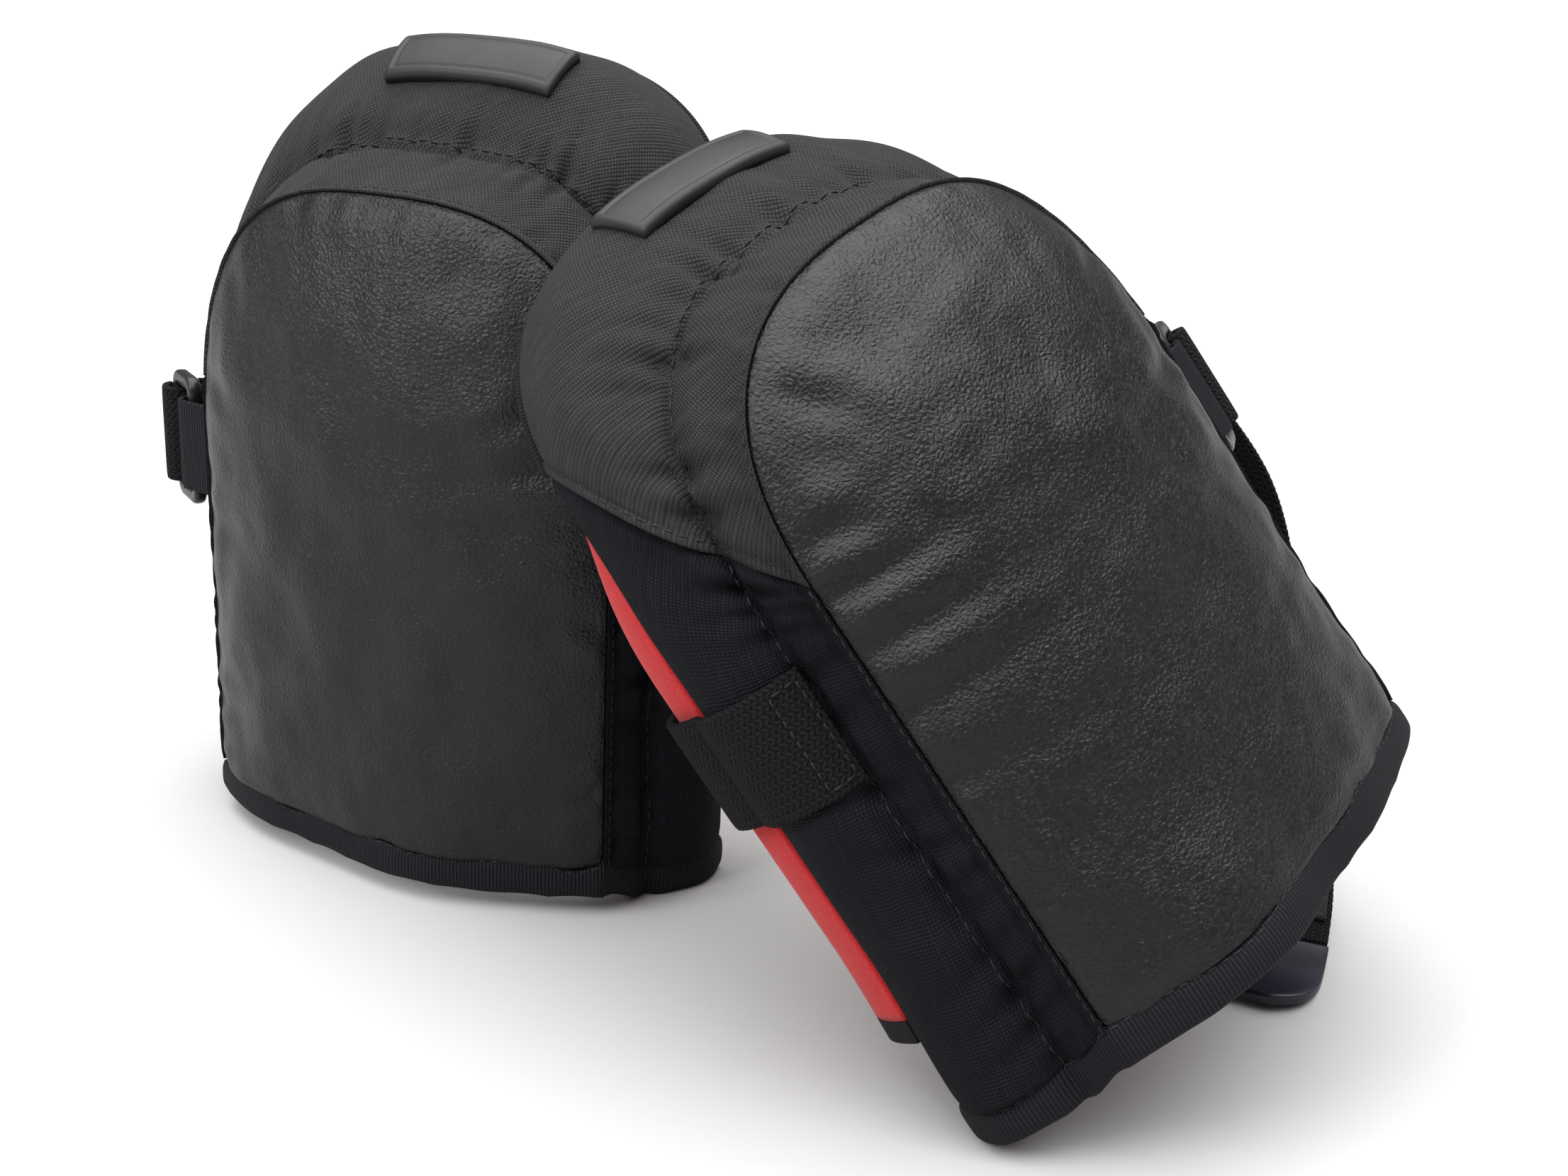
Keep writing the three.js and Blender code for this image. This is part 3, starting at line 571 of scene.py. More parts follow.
def brushed_red():
    m = new_nodes("brushed_red")
    place = m.place()
    pile = m.noise(place, 1900.0, 4.0, 0.65)
    tufts = m.noise(place, 420.0, 3.0, 0.55)
    broad = m.noise(place, 30.0)
    normal = m.bump(m.plus(m.times(pile, 0.6), m.times(tufts, 0.7)), 0.0004, 0.8)
    shade = m.mix(m.ramp(pile, 0.25, 0.75), rgb(138, 19, 25), rgb(188, 40, 41))
    shade = m.mix(m.ramp(broad, 0.35, 0.7, 0.0, 0.4), shade, rgb(160, 28, 33))
    sheen = {"Sheen_Weight": 0.12, "Sheen_Roughness": 0.45}
    return m.finish(Base_Color=shade, Roughness=0.9, Normal=normal, Specular_IOR_Level=0.15, **sheen)


def plain(name, dark, light, rough, grain, depth, spec):
    """Moulded rubber or plastic: a fine texture and slight wear."""
    m = new_nodes(name)
    place = m.place()
    normal = m.bump(m.noise(place, grain, 3.0, 0.6), depth)
    broad = m.noise(place, 60.0, 3.0)
    shade = m.mix(m.ramp(broad, 0.3, 0.7), dark, light)
    roughness = m.ramp(broad, 0.3, 0.7, rough - 0.06, rough + 0.08)
    return m.finish(Base_Color=shade, Roughness=roughness, Normal=normal, Specular_IOR_Level=spec)


def thread():
    """Twisted thread, with a turn every 0.45 mm."""
    m = new_nodes("thread")
    x, _, _ = m.xyz(m.cloth())
    shade = m.mix(m.ramp(m.wave(x, 0.45), -1.0, 1.0), rgb(11, 11, 13), rgb(30, 30, 33))
    return m.finish(Base_Color=shade, Roughness=0.65, Specular_IOR_Level=0.25)


def foam():
    m = new_nodes("open_foam")
    cells = m.voronoi(m.place(), 900.0, "F1")
    shade = m.mix(m.ramp(cells, 0.0, 0.7), rgb(40, 40, 43), rgb(24, 24, 26))
    return m.finish(Base_Color=shade, Roughness=0.95, Normal=m.bump(cells, 0.0004))


def hook_and_loop():
    m = new_nodes("hook_and_loop")
    place = m.place()
    loops = m.voronoi(place, 1300.0, "F1")
    tangle = m.noise(place, 2400.0, 3.0, 0.7)
    height = m.plus(m.times(tangle, 0.7), loops)
    normal = m.bump(height, 0.0006)
    shade = m.mix(m.ramp(height, 0.3, 1.1), rgb(38, 38, 41), rgb(14, 14, 16))
    finish = {"Specular_IOR_Level": 0.2, "Sheen_Weight": 0.08}
    return m.finish(Base_Color=shade, Roughness=0.92, Normal=normal, **finish)


MATERIALS = {
    "pvc": grained_pvc(),
    "crown": woven("woven_crown", 0.95, 38, rgb(13, 13, 15), rgb(44, 44, 47), 0.0003, 0.24),
    "side": woven("woven_side", 0.9, 8, rgb(10, 10, 13), rgb(24, 24, 30), 0.00028, 0.09),
    "grosgrain": grosgrain(),
    "knit": knitted(),
    "red": brushed_red(),
    "rubber": plain("badge_rubber", rgb(26, 26, 28), rgb(32, 32, 34), 0.48, 700.0, 0.00005, 0.25),
    "plastic": plain("ring_plastic", rgb(19, 19, 21), rgb(27, 27, 30), 0.36, 1200.0, 0.00003, 0.28),
    "tail": plain("tail_moulding", rgb(12, 13, 26), rgb(18, 19, 34), 0.34, 900.0, 0.00004, 0.4),
    "thread": thread(),
    "foam": foam(),
    "pile": hook_and_loop(),
}


def place_piece(obj, look, slot, body, *nodes, fill=None):
    """Gives a piece its material and body; slot and fill are not used."""
    obj.data.materials.clear()
    obj.data.materials.append(MATERIALS[look])
    if nodes:
        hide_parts(*nodes)
    if body:
        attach(obj, body)


# ---- panels
def dense(*parts):
    """Joined runs of evenly spaced numbers: (from, to, steps) for each."""
    out = [np.linspace(a, b, n + 1)[:-1] for a, b, n in parts]
    return np.concatenate(out + [[parts[-1][1]]])


SIDE_F = dense((-2, -1, 84), (-1, 0, 26))
CROWN_F = dense((0, 1, 220))
FAR_F = (1 - SIDE_F)[::-1]
ALL_F = np.concatenate([SIDE_F, CROWN_F[1:], FAR_F[1:]])
QUILT_V = QUILT_AT + np.array([-0.018, -0.009, 0.009, 0.018])
WALL_V = np.unique(np.concatenate([np.linspace(0.001, 1, 68), QUILT_V]))
FACE_V = np.concatenate([np.linspace(-1, -0.08, 50)[:-1], np.linspace(-0.08, -0.002, 14)])

# Creases in each hand's face panel: x and z where one starts, the x and z of its direction,
# and its length, width and depth, in mm.
CREASES = {
    1: [
        (-67, 122, 1.0, -0.1, 46, 5.5, 1.5),
        (-67, 109, 1.0, -0.16, 52, 6.0, 1.3),
        (-67, 93, 1.0, -0.12, 58, 7.0, 1.2),
        (-64, 136, 0.95, -0.45, 42, 6.0, 1.0),
        (-67, 72, 1.0, -0.05, 40, 7.0, 0.7),
        (-50, 166, 0.6, -0.8, 34, 6.0, 0.9),
        (67, 118, -1.0, -0.2, 34, 6.0, 0.8),
        (60, 150, -0.9, -0.5, 30, 6.0, 0.8),
        (67, 60, -1.0, 0.1, 26, 6.0, 0.6),
        (-67, 40, 1.0, 0.2, 26, 6.0, 0.5),
    ],
    -1: [
        (-66, 126, 1.0, -0.3, 52, 6.5, 1.5),
        (-62, 143, 0.9, -0.55, 50, 6.0, 1.2),
        (-67, 108, 1.0, -0.15, 44, 6.0, 0.9),
        (66, 128, -1.0, -0.2, 36, 6.0, 0.9),
        (-67, 80, 1.0, 0.0, 34, 7.0, 0.6),
        (40, 172, -0.5, -0.9, 30, 6.0, 0.8),
        (67, 84, -1.0, -0.05, 32, 6.0, 0.6),
    ],
}
soft_waves = {1: Waves(5, 34), -1: Waves(6, 34)}
small_waves = {1: Waves(7, 13), -1: Waves(8, 13)}
pucker_waves = {1: Waves(31, 8.5), -1: Waves(37, 8.5)}
# The relief's heights in mm, and where the crown's and the second side's waves are read from.
FACE_SOFT, FACE_SMALL, FACE_PUCKER, FACE_SWELL, FACE_SEAM = 0.35, 0.10, 0.45, 0.9, 0.55
WALL_LIP, WALL_FIRST, WALL_SECOND, WALL_QUILT = 0.5, 1.5, 1.7, 1.1
WALL_PLEAT, WALL_PUCKER, WALL_SOFT, SEAM_AT = 1.35, 0.5, 0.35, 3.1
OVER_CROWN, SECOND_SIDE = 1000, 300


def face_relief(x, z, edge_distance):
    """How far the panel stands out, in mm."""
    total = FACE_SOFT * soft_waves[hand_now](x, z) * smooth(0, 18, edge_distance)
    total = total + FACE_SMALL * small_waves[hand_now](x, z) * smooth(0, 6, edge_distance)
    for cx, cz, dx, dz, length, width, depth in CREASES[hand_now]:
        size = math.hypot(dx, dz)
        dx, dz = dx / size, dz / size
        s = (x - cx) * dx + (z - cz) * dz
        d = -(x - cx) * dz + (z - cz) * dx
        spread = width * (1 + 0.5 * np.clip(s / length, 0, 1))
        share = smooth(-4, 5, s) * (1 - smooth(0.15, 1.0, s / length))
        total = total - depth * share * bump(d, 0, spread * 0.62)
        total = total + 0.62 * depth * share * bump(d, spread * 1.15, spread * 0.8)
        total = total + 0.35 * depth * share * bump(d, -spread * 1.25, spread * 0.9)
    along_edge = np.where(np.abs(x) > 60, z, x)
    pucker = FACE_PUCKER * pucker_waves[hand_now](along_edge * 0.8, 0 * x) * np.exp(-edge_distance / 5)
    total = total + pucker * smooth(0.5, 3, edge_distance)
    total = total + FACE_SWELL * smooth(0, 9, edge_distance)
    return total - FACE_SEAM * np.exp(-((edge_distance / 1.3) ** 2))


def wall_relief(s_v, run_u, length, from_seam):
    """How far a wall cover stands out, in mm. s_v is the distance from the face's seam."""
    quilt = QUILT_AT * length
    lip = WALL_LIP * (1 - smooth(2.0, 3.4, s_v)) - 0.4 * bump(s_v, 3.0, 0.8)
    first = WALL_FIRST * np.sin(np.pi * np.clip((s_v - 3) / (quilt - 3), 0, 1)) ** 0.9
    rest = np.clip((s_v - quilt) / (length - quilt), 0, 1)
    second = WALL_SECOND * np.sin(np.pi * rest**0.62) ** 0.9
    crease = -WALL_QUILT * bump(s_v, quilt, 1.1)
    away = s_v - quilt
    lean = run_u + 0.25 * away * soft_waves[hand_now](run_u * 0.3, 0 * run_u)
    pleat = pucker_waves[-hand_now](lean, 0.15 * away)
    pleat = pleat - 0.35 * np.abs(pleat)
    shape = np.exp(-np.abs(away) / np.where(away < 0, 6.5, 7.5)) * smooth(0.2, 2.2, np.abs(away))
    pleats = WALL_PLEAT * pleat * shape
    edge = WALL_PUCKER * pucker_waves[hand_now](run_u * 0.9, 0 * run_u + 40) * np.exp(-np.abs(s_v - 4) / 4)
    edge = edge * smooth(1.5, 4, s_v)
    loose = WALL_SOFT * soft_waves[-hand_now](run_u, s_v) * smooth(0, 8, np.minimum(s_v, length - s_v))
    hem = -0.9 * smooth(4.5, 0, length - s_v) * 0.8
    return lip + first + second + crease + pleats + edge + loose + hem + from_seam


def shell_grid(fs, vs):
    """Stations and shares over a grid of the shell, down to its lower edge."""
    v = vs[None, :]
    st = grid_station(fs[:, None], v, SHELL_Z0 - foot_drop(v))
    return st, np.broadcast_to(v, st.x.shape)


def cover(name, fs, seam_first, is_crown):
    """A wall cover and the grid of its outside; a side cover has its seam first or last."""
    st, v = shell_grid(fs, WALL_V)
    base = at(st, v, 0.0)
    s_v = along(base, 1)
    u_low = along(base, 0)
    middle = base.shape[1] * 6 // 10
    run_u = np.broadcast_to(u_low[:, middle : middle + 1], s_v.shape)
    from_end = u_low[-1:] - u_low
    if is_crown:
        relief_u = run_u + OVER_CROWN
        near = np.minimum(u_low, from_end)
        seam = 0.8 * (1 - smooth(2.0, 3.6, near)) - 0.35 * bump(near, 3.2, 0.8)
        seam = seam * smooth(-1, 9, s_v)
    else:
        relief_u = run_u + (SECOND_SIDE if seam_first else 0)
        near, foot = (u_low, from_end) if seam_first else (from_end, u_low)
        seam = -0.35 * (1 - smooth(0.5, 3.0, near)) + 0.6 * bump(near, 4, 3) * smooth(0.5, 4, near)
        seam = seam - 0.5 * (1 - smooth(0, 6, foot))
    outer = at(st, v, -wall_relief(s_v, relief_u, s_v[:, -1:], seam))
    cloth = np.stack([run_u, s_v, 0 * s_v], -1)
    return slab(name, outer, at(st, v, SKIN_T), cloth), outer


def outward(st, v):
    return unit(outer_point(st, v) - inner_point(st, v))


def build_panels(hand, pad):
    """The grained face panel and the three covers of the wall; returns the covers' outsides."""
    st, v = shell_grid(ALL_F, FACE_V)
    base = at(st, v, 0.0)
    edge_distance = np.linalg.norm(base - base[:, -1:, :], axis=-1)
    spread = np.abs(st.x) * (-v)
    edge_distance = np.minimum(edge_distance, np.where(st.nz > 0, edge_distance, spread))
    relief = face_relief(base[..., 0], base[..., 2], edge_distance)
    relief = relief - 0.8 * (1 - smooth(0, 7, base[..., 2] - SHELL_Z0))
    cloth = np.stack([base[..., 0], base[..., 2], 0 * edge_distance], -1)
    outer, inner = at(st, v, -relief), at(st, v, SKIN_T)
    panel = slab(f"{hand}_grained_panel", outer, inner, cloth, WELD, True)
    place_piece(panel, "pvc", "grained_pvc", pad, f"{hand}_face_panel", fill=0.7)
    covers = {}
    for name, fs, seam_first, look, node in (
        ("crown_fabric", CROWN_F, True, "crown", "crown_cover"),
        ("side_fabric_strap", SIDE_F, False, "side", "side_cover_strap"),
        ("side_fabric_ring", FAR_F, True, "side", "side_cover_ring"),
    ):
        obj, covers[name] = cover(f"{hand}_{name}", fs, seam_first, look == "crown")
        place_piece(obj, look, "woven_cover", pad, f"{hand}_{node}", fill=0.6)
    return covers


def grid_normals(grid):
    return unit(np.cross(np.gradient(grid, axis=0), np.gradient(grid, axis=1)))


def build_threads(hand, pad, covers):
    crown = covers["crown_fabric"]
    whole = np.concatenate([covers["side_fabric_strap"], crown[1:-1], covers["side_fabric_ring"]])
    out = grid_normals(whole)
    out = out * (np.sign(-out[10, 30, 0]) or 1)
    length = along(whole, 1)
    lip = int(np.argmin(np.abs(length[len(whole) // 2] - 3.0)))
    quilt = int(np.argmin(np.abs(WALL_V - QUILT_AT)))
    for index, name, pitch, radius, sink in (
        (lip, "thread_panel_seam", 3.3, 0.24, 0.05),
        (quilt, "thread_quilting", 3.8, 0.28, -0.05),
    ):
        row = stitches(f"{hand}_{name}", whole[:, index], out[:, index], pitch, radius, sink)
        place_piece(row, "thread", "woven_cover", pad)
    for name, index in (("thread_seam_strap", 0), ("thread_seam_ring", -1)):
        run = along(crown, 0)
        run = run if index == 0 else run[-1:] - run
        picks = np.argmin(np.abs(run - SEAM_AT), axis=0), np.arange(crown.shape[1])
        path, normal = crown[picks], grid_normals(crown)[picks]
        if (normal[5] * (path[5] - np.array([0, 60, 90]))).sum() < 0:
            normal = -normal
        row = stitches(f"{hand}_{name}", path, normal, pitch=3.4, radius=0.24)
        place_piece(row, "thread", "woven_cover", pad)


def build_foam(hand, pad):
    fs = np.concatenate([SIDE_F[::4], CROWN_F[4::4], FAR_F[2::4]])
    for name, vs, on_face, node in (
        ("face_cushion", np.linspace(-1, -0.0006, 12), True, "face_foam"),
        ("rim_cushion", np.linspace(0.0006, 1, 20), False, "rim_foam"),
    ):
        st, v = shell_grid(fs, vs)
        outer = at(st, v, SKIN_T + GAP + 0.2)
        inner = at_inner(st, v, LINING_T + GAP + 0.2)
        obj = slab(f"{hand}_{name}", outer, inner, np.zeros_like(outer), WELD, on_face)
        place_piece(obj, "foam", "foam", pad, f"{hand}_{node}", fill=0.9)


def build_lining(hand, pad):
    """The red lining, with its roll over the side edges beyond v = 1."""
    fs = np.concatenate([SIDE_F[::2], CROWN_F[2::2], FAR_F[2::2]])
    vs = np.concatenate([np.linspace(-1, -0.02, 34), np.linspace(0.0, 1, 34), np.linspace(1.04, 2, 18)])
    st = grid_station(fs[:, None], np.minimum(vs[None, :], 1), LINING_Z0)
    v = np.broadcast_to(vs[None, :], st.x.shape)
    on_shell = np.minimum(v, 1)
    sides = []
    for side in (0, 1):
        flat = at_inner(st, on_shell, LINING_T if side == 0 else 0.0)
        rolled = roll_point(st, np.clip(v - 1, 0, 1), side, roll_share(st))
        sides.append(np.where((v > 1)[..., None], rolled, flat))
    run = along(sides[1], 0)
    dip = 0.5 * soft_waves[hand_now](run, v * 60) + 0.25 * small_waves[hand_now](run, v * 60)
    dip = dip * smooth(0, 0.1, 1 - np.abs(v - 0.45) / 1.5)
    sides[1] = sides[1] - outward(st, on_shell) * dip[..., None] * 0.6
    lining = slab(f"{hand}_red_lining", sides[0], sides[1], grid_cloth(sides[0]), WELD, True)
    place_piece(lining, "red", "red_lining", pad, f"{hand}_lining", fill=0.5)


def foot_rows(vs):
    """The U of the lower edge from one back edge to the other: each point's side and v."""
    q = np.concatenate([-(vs[::-1]) - 1, vs[1:] + 1])
    return np.where(q < 0, -1.0, 1.0), np.abs(q) - 1


def rounded_profile(count, width, height, power=5.0):
    """A rounded rectangle's outline, centred, from a superellipse."""
    t = np.linspace(0, 2 * np.pi, count, endpoint=False)
    c, s = np.cos(t), np.sin(t)
    x = np.sign(c) * np.abs(c) ** (2 / power) * width / 2
    return x, np.sign(s) * np.abs(s) ** (2 / power) * height / 2


def foot_tube(name, vs, z_low, z_high, depth_mid, thickness, from_inner, wave, power, count):
    """A band round the lower edge; from_inner hangs it inside the shell instead of outside."""
    sign, v = foot_rows(vs)
    t_off, z_off = rounded_profile(count, thickness, 1.0, power)
    drop = foot_drop(v)
    tall = z_high - z_low + (drop if from_inner else 0 * drop)
    middle = (z_low + z_high) / 2 - (drop / 2 if from_inner else drop)
    line = outer_point(Station(sign * FACE_HALF_W, middle, sign, 0.0), np.minimum(v, 1))
    run = along(line, 0)
    ripple = wave * soft_waves[hand_now](run * 1.3, 0 * run)[:, None]
    z = middle[:, None] + z_off * tall[:, None]
    z = z + np.where(z_off > 0, ripple * 0.6, np.abs(ripple) * 0.25)
    st = Station(sign[:, None] * FACE_HALF_W, z, sign[:, None], 0.0)
    rings = (at_inner if from_inner else at)(st, np.broadcast_to(v[:, None], z.shape), depth_mid + t_off)
    around = along(np.concatenate([rings, rings[:, :1]], 1), 1)[:, :-1]
    cloth = np.stack([np.broadcast_to(run[:, None], around.shape), around, 0 * around], -1)
    return tube(name, rings, cloth), rings


def build_bottom_edge(hand, pad):
    vs = np.concatenate([np.linspace(-1, -0.03, 60), np.linspace(0.0, 1, 60)])
    where = (BIND_Z0, BIND_Z1 + 1.0, BIND_T / 2 - 0.3, BIND_T)
    bind, rings = foot_tube(f"{hand}_binding_tape", vs, *where, False, 0.9, power=3.4, count=30)
    place_piece(bind, "grosgrain", "binding_tape", pad, f"{hand}_bottom_binding")
    normal = unit(rings[:, 13] - rings.mean(1))
    row = stitches(f"{hand}_thread_binding", rings[:, 11], normal, pitch=3.6, radius=0.26)
    place_piece(row, "thread", "binding_tape", pad)
    where = (SHELL_Z0, LINING_Z0 - 2 * GAP - TAPE_H, LINING_T - HEM_T / 2, HEM_T)
    hem, _ = foot_tube(f"{hand}_hem_fabric", vs[::2], *where, True, 0.0, power=6, count=16)
    place_piece(hem, "side", "woven_cover", pad, f"{hand}_hem_facing")


def build_lining_tape(hand, pad):
    """The black tape on the lining's lower edge, following its roll."""
    top_z = LINING_Z0 - GAP
    zs = np.array([top_z - TAPE_H, top_z - TAPE_H + 0.8, top_z - TAPE_H / 2, top_z - 0.8, top_z])
    swell = np.array([-0.5, 0.1, 0.25, 0.1, -0.4])
    vs = np.concatenate([np.linspace(-1, -0.02, 40), np.linspace(0.0, 1, 40), np.linspace(1.06, 2, 14)])
    sign, v = foot_rows(vs)
    st = Station(sign[:, None] * FACE_HALF_W, zs[None, :], sign[:, None], 0.0)
    v = np.broadcast_to(v[:, None], st.x.shape)
    grids = []
    for side in (0, 1):
        flat = at_inner(st, np.minimum(v, 1), (LINING_T + swell) if side == 0 else -swell)
        rolled = roll_point(st, np.clip(v - 1, 0, 1), side, roll_share(st))
        grids.append(np.where((v > 1)[..., None], rolled, flat))
    tape = slab(f"{hand}_lining_binding", grids[0], grids[1], grid_cloth(grids[0]))
    place_piece(tape, "grosgrain", "binding_tape", pad, f"{hand}_lining_tape")


def build_piping(hand, pad):
    """The piping along the crown's back edge."""
    st = grid_station(CROWN_F, 1.0, SHELL_Z0)
    edge = outer_point(st, 1.0)
    inwards = unit(inner_point(st, 1.0) - edge)
    backwards = np.cross(tangents(edge), inwards)
    backwards *= np.sign(backwards[:, 1:2])
    angles = np.linspace(0, 2 * np.pi, 16, endpoint=False)
    centre = edge + inwards * PIPING_IN + np.array([0, PIPING_IN, 0])
    rings = (
        centre[:, None]
        + inwards[:, None] * (PIPING_WIDE * np.cos(angles))[None, :, None]
        + backwards[:, None] * (PIPING_HIGH * np.sin(angles))[None, :, None]
    )
    run, around = np.broadcast_arrays(along(centre, 0)[:, None], angles * PIPING_IN)
    piping = tube(f"{hand}_piping", rings, np.stack([run, around, 0 * run], -1))
    place_piece(piping, "grosgrain", "binding_tape", pad, f"{hand}_crown_piping")


def build_badge(hand, pad):
    """The plain plate on the crown, with its raised rim."""
    share = math.acos((BADGE_HALF_X / FACE_HALF_W) ** (ARCH_POWER / 2)) / math.pi
    nk, nv = 73, 37
    k = np.linspace(share, 1 - share, nk)[:, None]
    v = np.linspace(BADGE_FRONT, BADGE_BACK, nv)[None, :]
    st = station(np.broadcast_to(k, (nk, nv)), SHELL_Z0)
    v = np.broadcast_to(v, (nk, nv))
    flat = at(st, v, 0.0)
    du, dv = along(flat, 0), along(flat, 1)
    edge = np.minimum(np.minimum(du, du[-1:] - du), np.minimum(dv, dv[:, -1:] - dv))
    height = BADGE_T + GAP + 1.6 - 0.9 * (1 - smooth(0, 0.9, edge))
    groove = 0.55 * smooth(2.0, 2.5, edge) * (1 - smooth(2.9, 3.3, edge))
    height = height - groove - 0.3 * smooth(3.0, 3.4, edge)
    badge = slab(f"{hand}_badge_plate", at(st, v, -height), at(st, v, -0.9), grid_cloth(flat))
    place_piece(badge, "rubber", "badge_rubber", pad, f"{hand}_badge")


# ---- strap, ring and tab
def catmull(points, per_segment=60):
    """The centripetal Catmull-Rom curve through the points."""
    p = np.asarray(points, float)
    p = np.concatenate([[2 * p[0] - p[1]], p, [2 * p[-1] - p[-2]]])
    out = []
    t = np.linspace(0, 1, per_segment, endpoint=False)[:, None]
    for i in range(1, len(p) - 2):
        p0, p1, p2, p3 = p[i - 1 : i + 3]
        d0, d1, d2 = (max(np.linalg.norm(b - a), 1e-6) ** 0.5 for a, b in ((p0, p1), (p1, p2), (p2, p3)))
        m1 = ((p1 - p0) / d0 - (p2 - p0) / (d0 + d1) + (p2 - p1) / d1) * d1
        m2 = ((p2 - p1) / d1 - (p3 - p1) / (d1 + d2) + (p3 - p2) / d2) * d1
        a, b = 2 * p1 - 2 * p2 + m1 + m2, -3 * p1 + 3 * p2 - 2 * m1 - m2
        out.append(a * t**3 + b * t**2 + m1 * t + p1)
    return np.concatenate(out + [p[-2:-1]])


def sample(points, shares):
    run = along(points, 0)
    return np.stack([np.interp(np.asarray(shares) * run[-1], run, points[:, c]) for c in range(3)], -1)


UP = np.array([0.0, 0.0, 1.0])
SWING = math.radians(RING_SWING)
RING_DIRECTION = np.array([math.cos(SWING), math.sin(SWING), 0])
RING_BACK = np.cross(UP, RING_DIRECTION)
FRONT_BAR = np.array([RING_X, RING_Y, STRAP_Z])
REAR_BAR = FRONT_BAR + RING_DIRECTION * RING_PITCH


def round_rear_bar(degrees, radius):
    a = np.radians(degrees)
    forward, back = radius * np.cos(a), radius * np.sin(a)
    return REAR_BAR + np.multiply.outer(forward, RING_DIRECTION) + np.multiply.outer(back, RING_BACK)


# The strap's run behind the knee, as x and y, and the loose tail, as x, y and z.
RUN_POINTS = [
    [-84.0, 62.6], [-84.3, 68], [-82.4, 76], [-75.5, 84], [-60, 91], [-34, 96.5], [0, 99],
    [34, 98], [58, 94], [75, 87.3], [85.2, 79], [91.5, 69.5], [96.5, 58.5],
]
LOOSE_POINTS = [
    [106.5, 54.5, 98], [106.3, 61.5, 98.3], [111.5, 69.5, 91], [118.2, 74.2, 58], [108.4, 84.0, 18.5],
    [88.6, 89.6, -20.4], [66.9, 86.9, -40.1], [45.7, 79.4, -45.3], [27.6, 70.6, -44.9], [10.8, 62.2, -42.0],
]


RUN_STEPS, FINE_STEPS = 26, 340
FINE = np.linspace(0, 1, 1 + FINE_STEPS)
LOOP_FROM, LOOP_TO = 11, 20         # the loop patch, in steps of the run
LIES_FROM, LIES_TO = 9, 23          # where the laid tail lies on the run
LAID_LIFT = STRAP_T + 2 * PATCH_T + 3 * GAP + 0.4
TAIL_BEHIND, TAIL_DOWN = np.array([0.915, 0.387, -0.114]), np.array([-0.319, 0.521, -0.792])
TAB_IN_AT, TAB_OUT_AT = (0.15, 0.22, 0.29, 0.36, 0.41), (0.31, 0.26, 0.22, 0.18, 0.15)


def tangents(path):
    return unit(np.gradient(path, axis=0))


def level_out(path):
    return unit(-np.cross(tangents(path), UP))


def web(name, path, out, width, low, high, fray=0.0, narrow=1.0):
    """A flat band with soft edges along a path; low and high are its faces' distances along out."""
    tangent = tangents(path)
    across = unit(np.cross(tangent, out))
    run = along(path, 0)
    count = 44
    a_off, b_off = rounded_profile(count, 1.0, 1.0, 9.0)
    middle, thick = (low + high) / 2, high - low
    w = np.full(len(path), float(width)) * narrow
    knit = fray * np.sin(2 * np.pi * run / KNIT_PITCH)
    rings = (
        path[:, None]
        + across[:, None] * (a_off[None, :] * (w + knit)[:, None])[..., None]
        + out[:, None] * (middle + b_off * thick)[None, :, None]
    )
    w_coord = np.broadcast_to(a_off * width, (len(path), count)) + 50
    cloth = np.stack([np.broadcast_to(run[:, None], (len(path), count)), w_coord, 0 * w_coord], -1)
    return tube(name, rings, cloth)


def strap(name, path, out, fray=FRAY):
    return web(name, path, out, STRAP_W, -STRAP_T / 2, STRAP_T / 2, fray)


def build_strap_run(hand):
    """The stretch behind the knee and its loop patch; returns points on it and their way out."""
    end = round_rear_bar(FOLD_FROM - FOLD_GAP, FOLD_R)
    line = catmull([[x, y, STRAP_Z] for x, y in RUN_POINTS] + [[end[0], end[1], STRAP_Z]])
    path = sample(line, FINE)
    out = level_out(path)
    band = strap(f"{hand}_strap_band", path, out)
    place_piece(band, "knit", "elastic_webbing", None, f"{hand}_strap_run")
    lift = STRAP_T / 2 + GAP
    loop_path = sample(line, FINE[(FINE >= LOOP_FROM / RUN_STEPS) & (FINE <= LOOP_TO / RUN_STEPS)])
    loop = web(f"{hand}_loop_pad", loop_path, level_out(loop_path), STRAP_W - 3, lift, lift + PATCH_T)
    place_piece(loop, "pile", "hook_and_loop", None, f"{hand}_loop_patch")
    for obj in (band, loop):
        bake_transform(obj)
    shares = np.arange(RUN_STEPS + 1) / RUN_STEPS
    return sample(line, shares), out[(shares * FINE_STEPS).round().astype(int)]


def build_strap_end(hand, pad):
    """The strap's sewn end on the side wall, with its box of stitches."""

    def on_side(z, v, depth):
        st = Station(-FACE_HALF_W, z + 0 * v, -1.0, 0.0)
        lift = 0.9 * smooth(STRAP_END_AT, 0.4, v) * (1 - smooth(0.85, 1.0, v)) + 0.35
        return at(st, v, -GAP - depth - lift), outward(st, v)

    band = strap(f"{hand}_strap_sewn_end", *on_side(STRAP_Z, np.linspace(STRAP_END_AT, 1.0, 60), STRAP_T / 2))
    place_piece(band, "knit", "elastic_webbing", pad, f"{hand}_strap_end")
    low, high = STRAP_Z - SEWN_BOX_HALF, STRAP_Z + SEWN_BOX_HALF
    shares, heights = np.linspace(SEWN_BOX_FROM, SEWN_BOX_TO, 30), np.linspace(low, high, 30)
    across = [(heights, np.full(30, v)) for v in (SEWN_BOX_FROM, SEWN_BOX_TO)]
    for i, (z, v) in enumerate([(low, shares), (high, shares)] + across):
        row = stitches(f"{hand}_thread_box_{i}", *on_side(z, v, STRAP_T + 0.05), pitch=2.6, radius=0.3)
        place_piece(row, "thread", "elastic_webbing", pad)


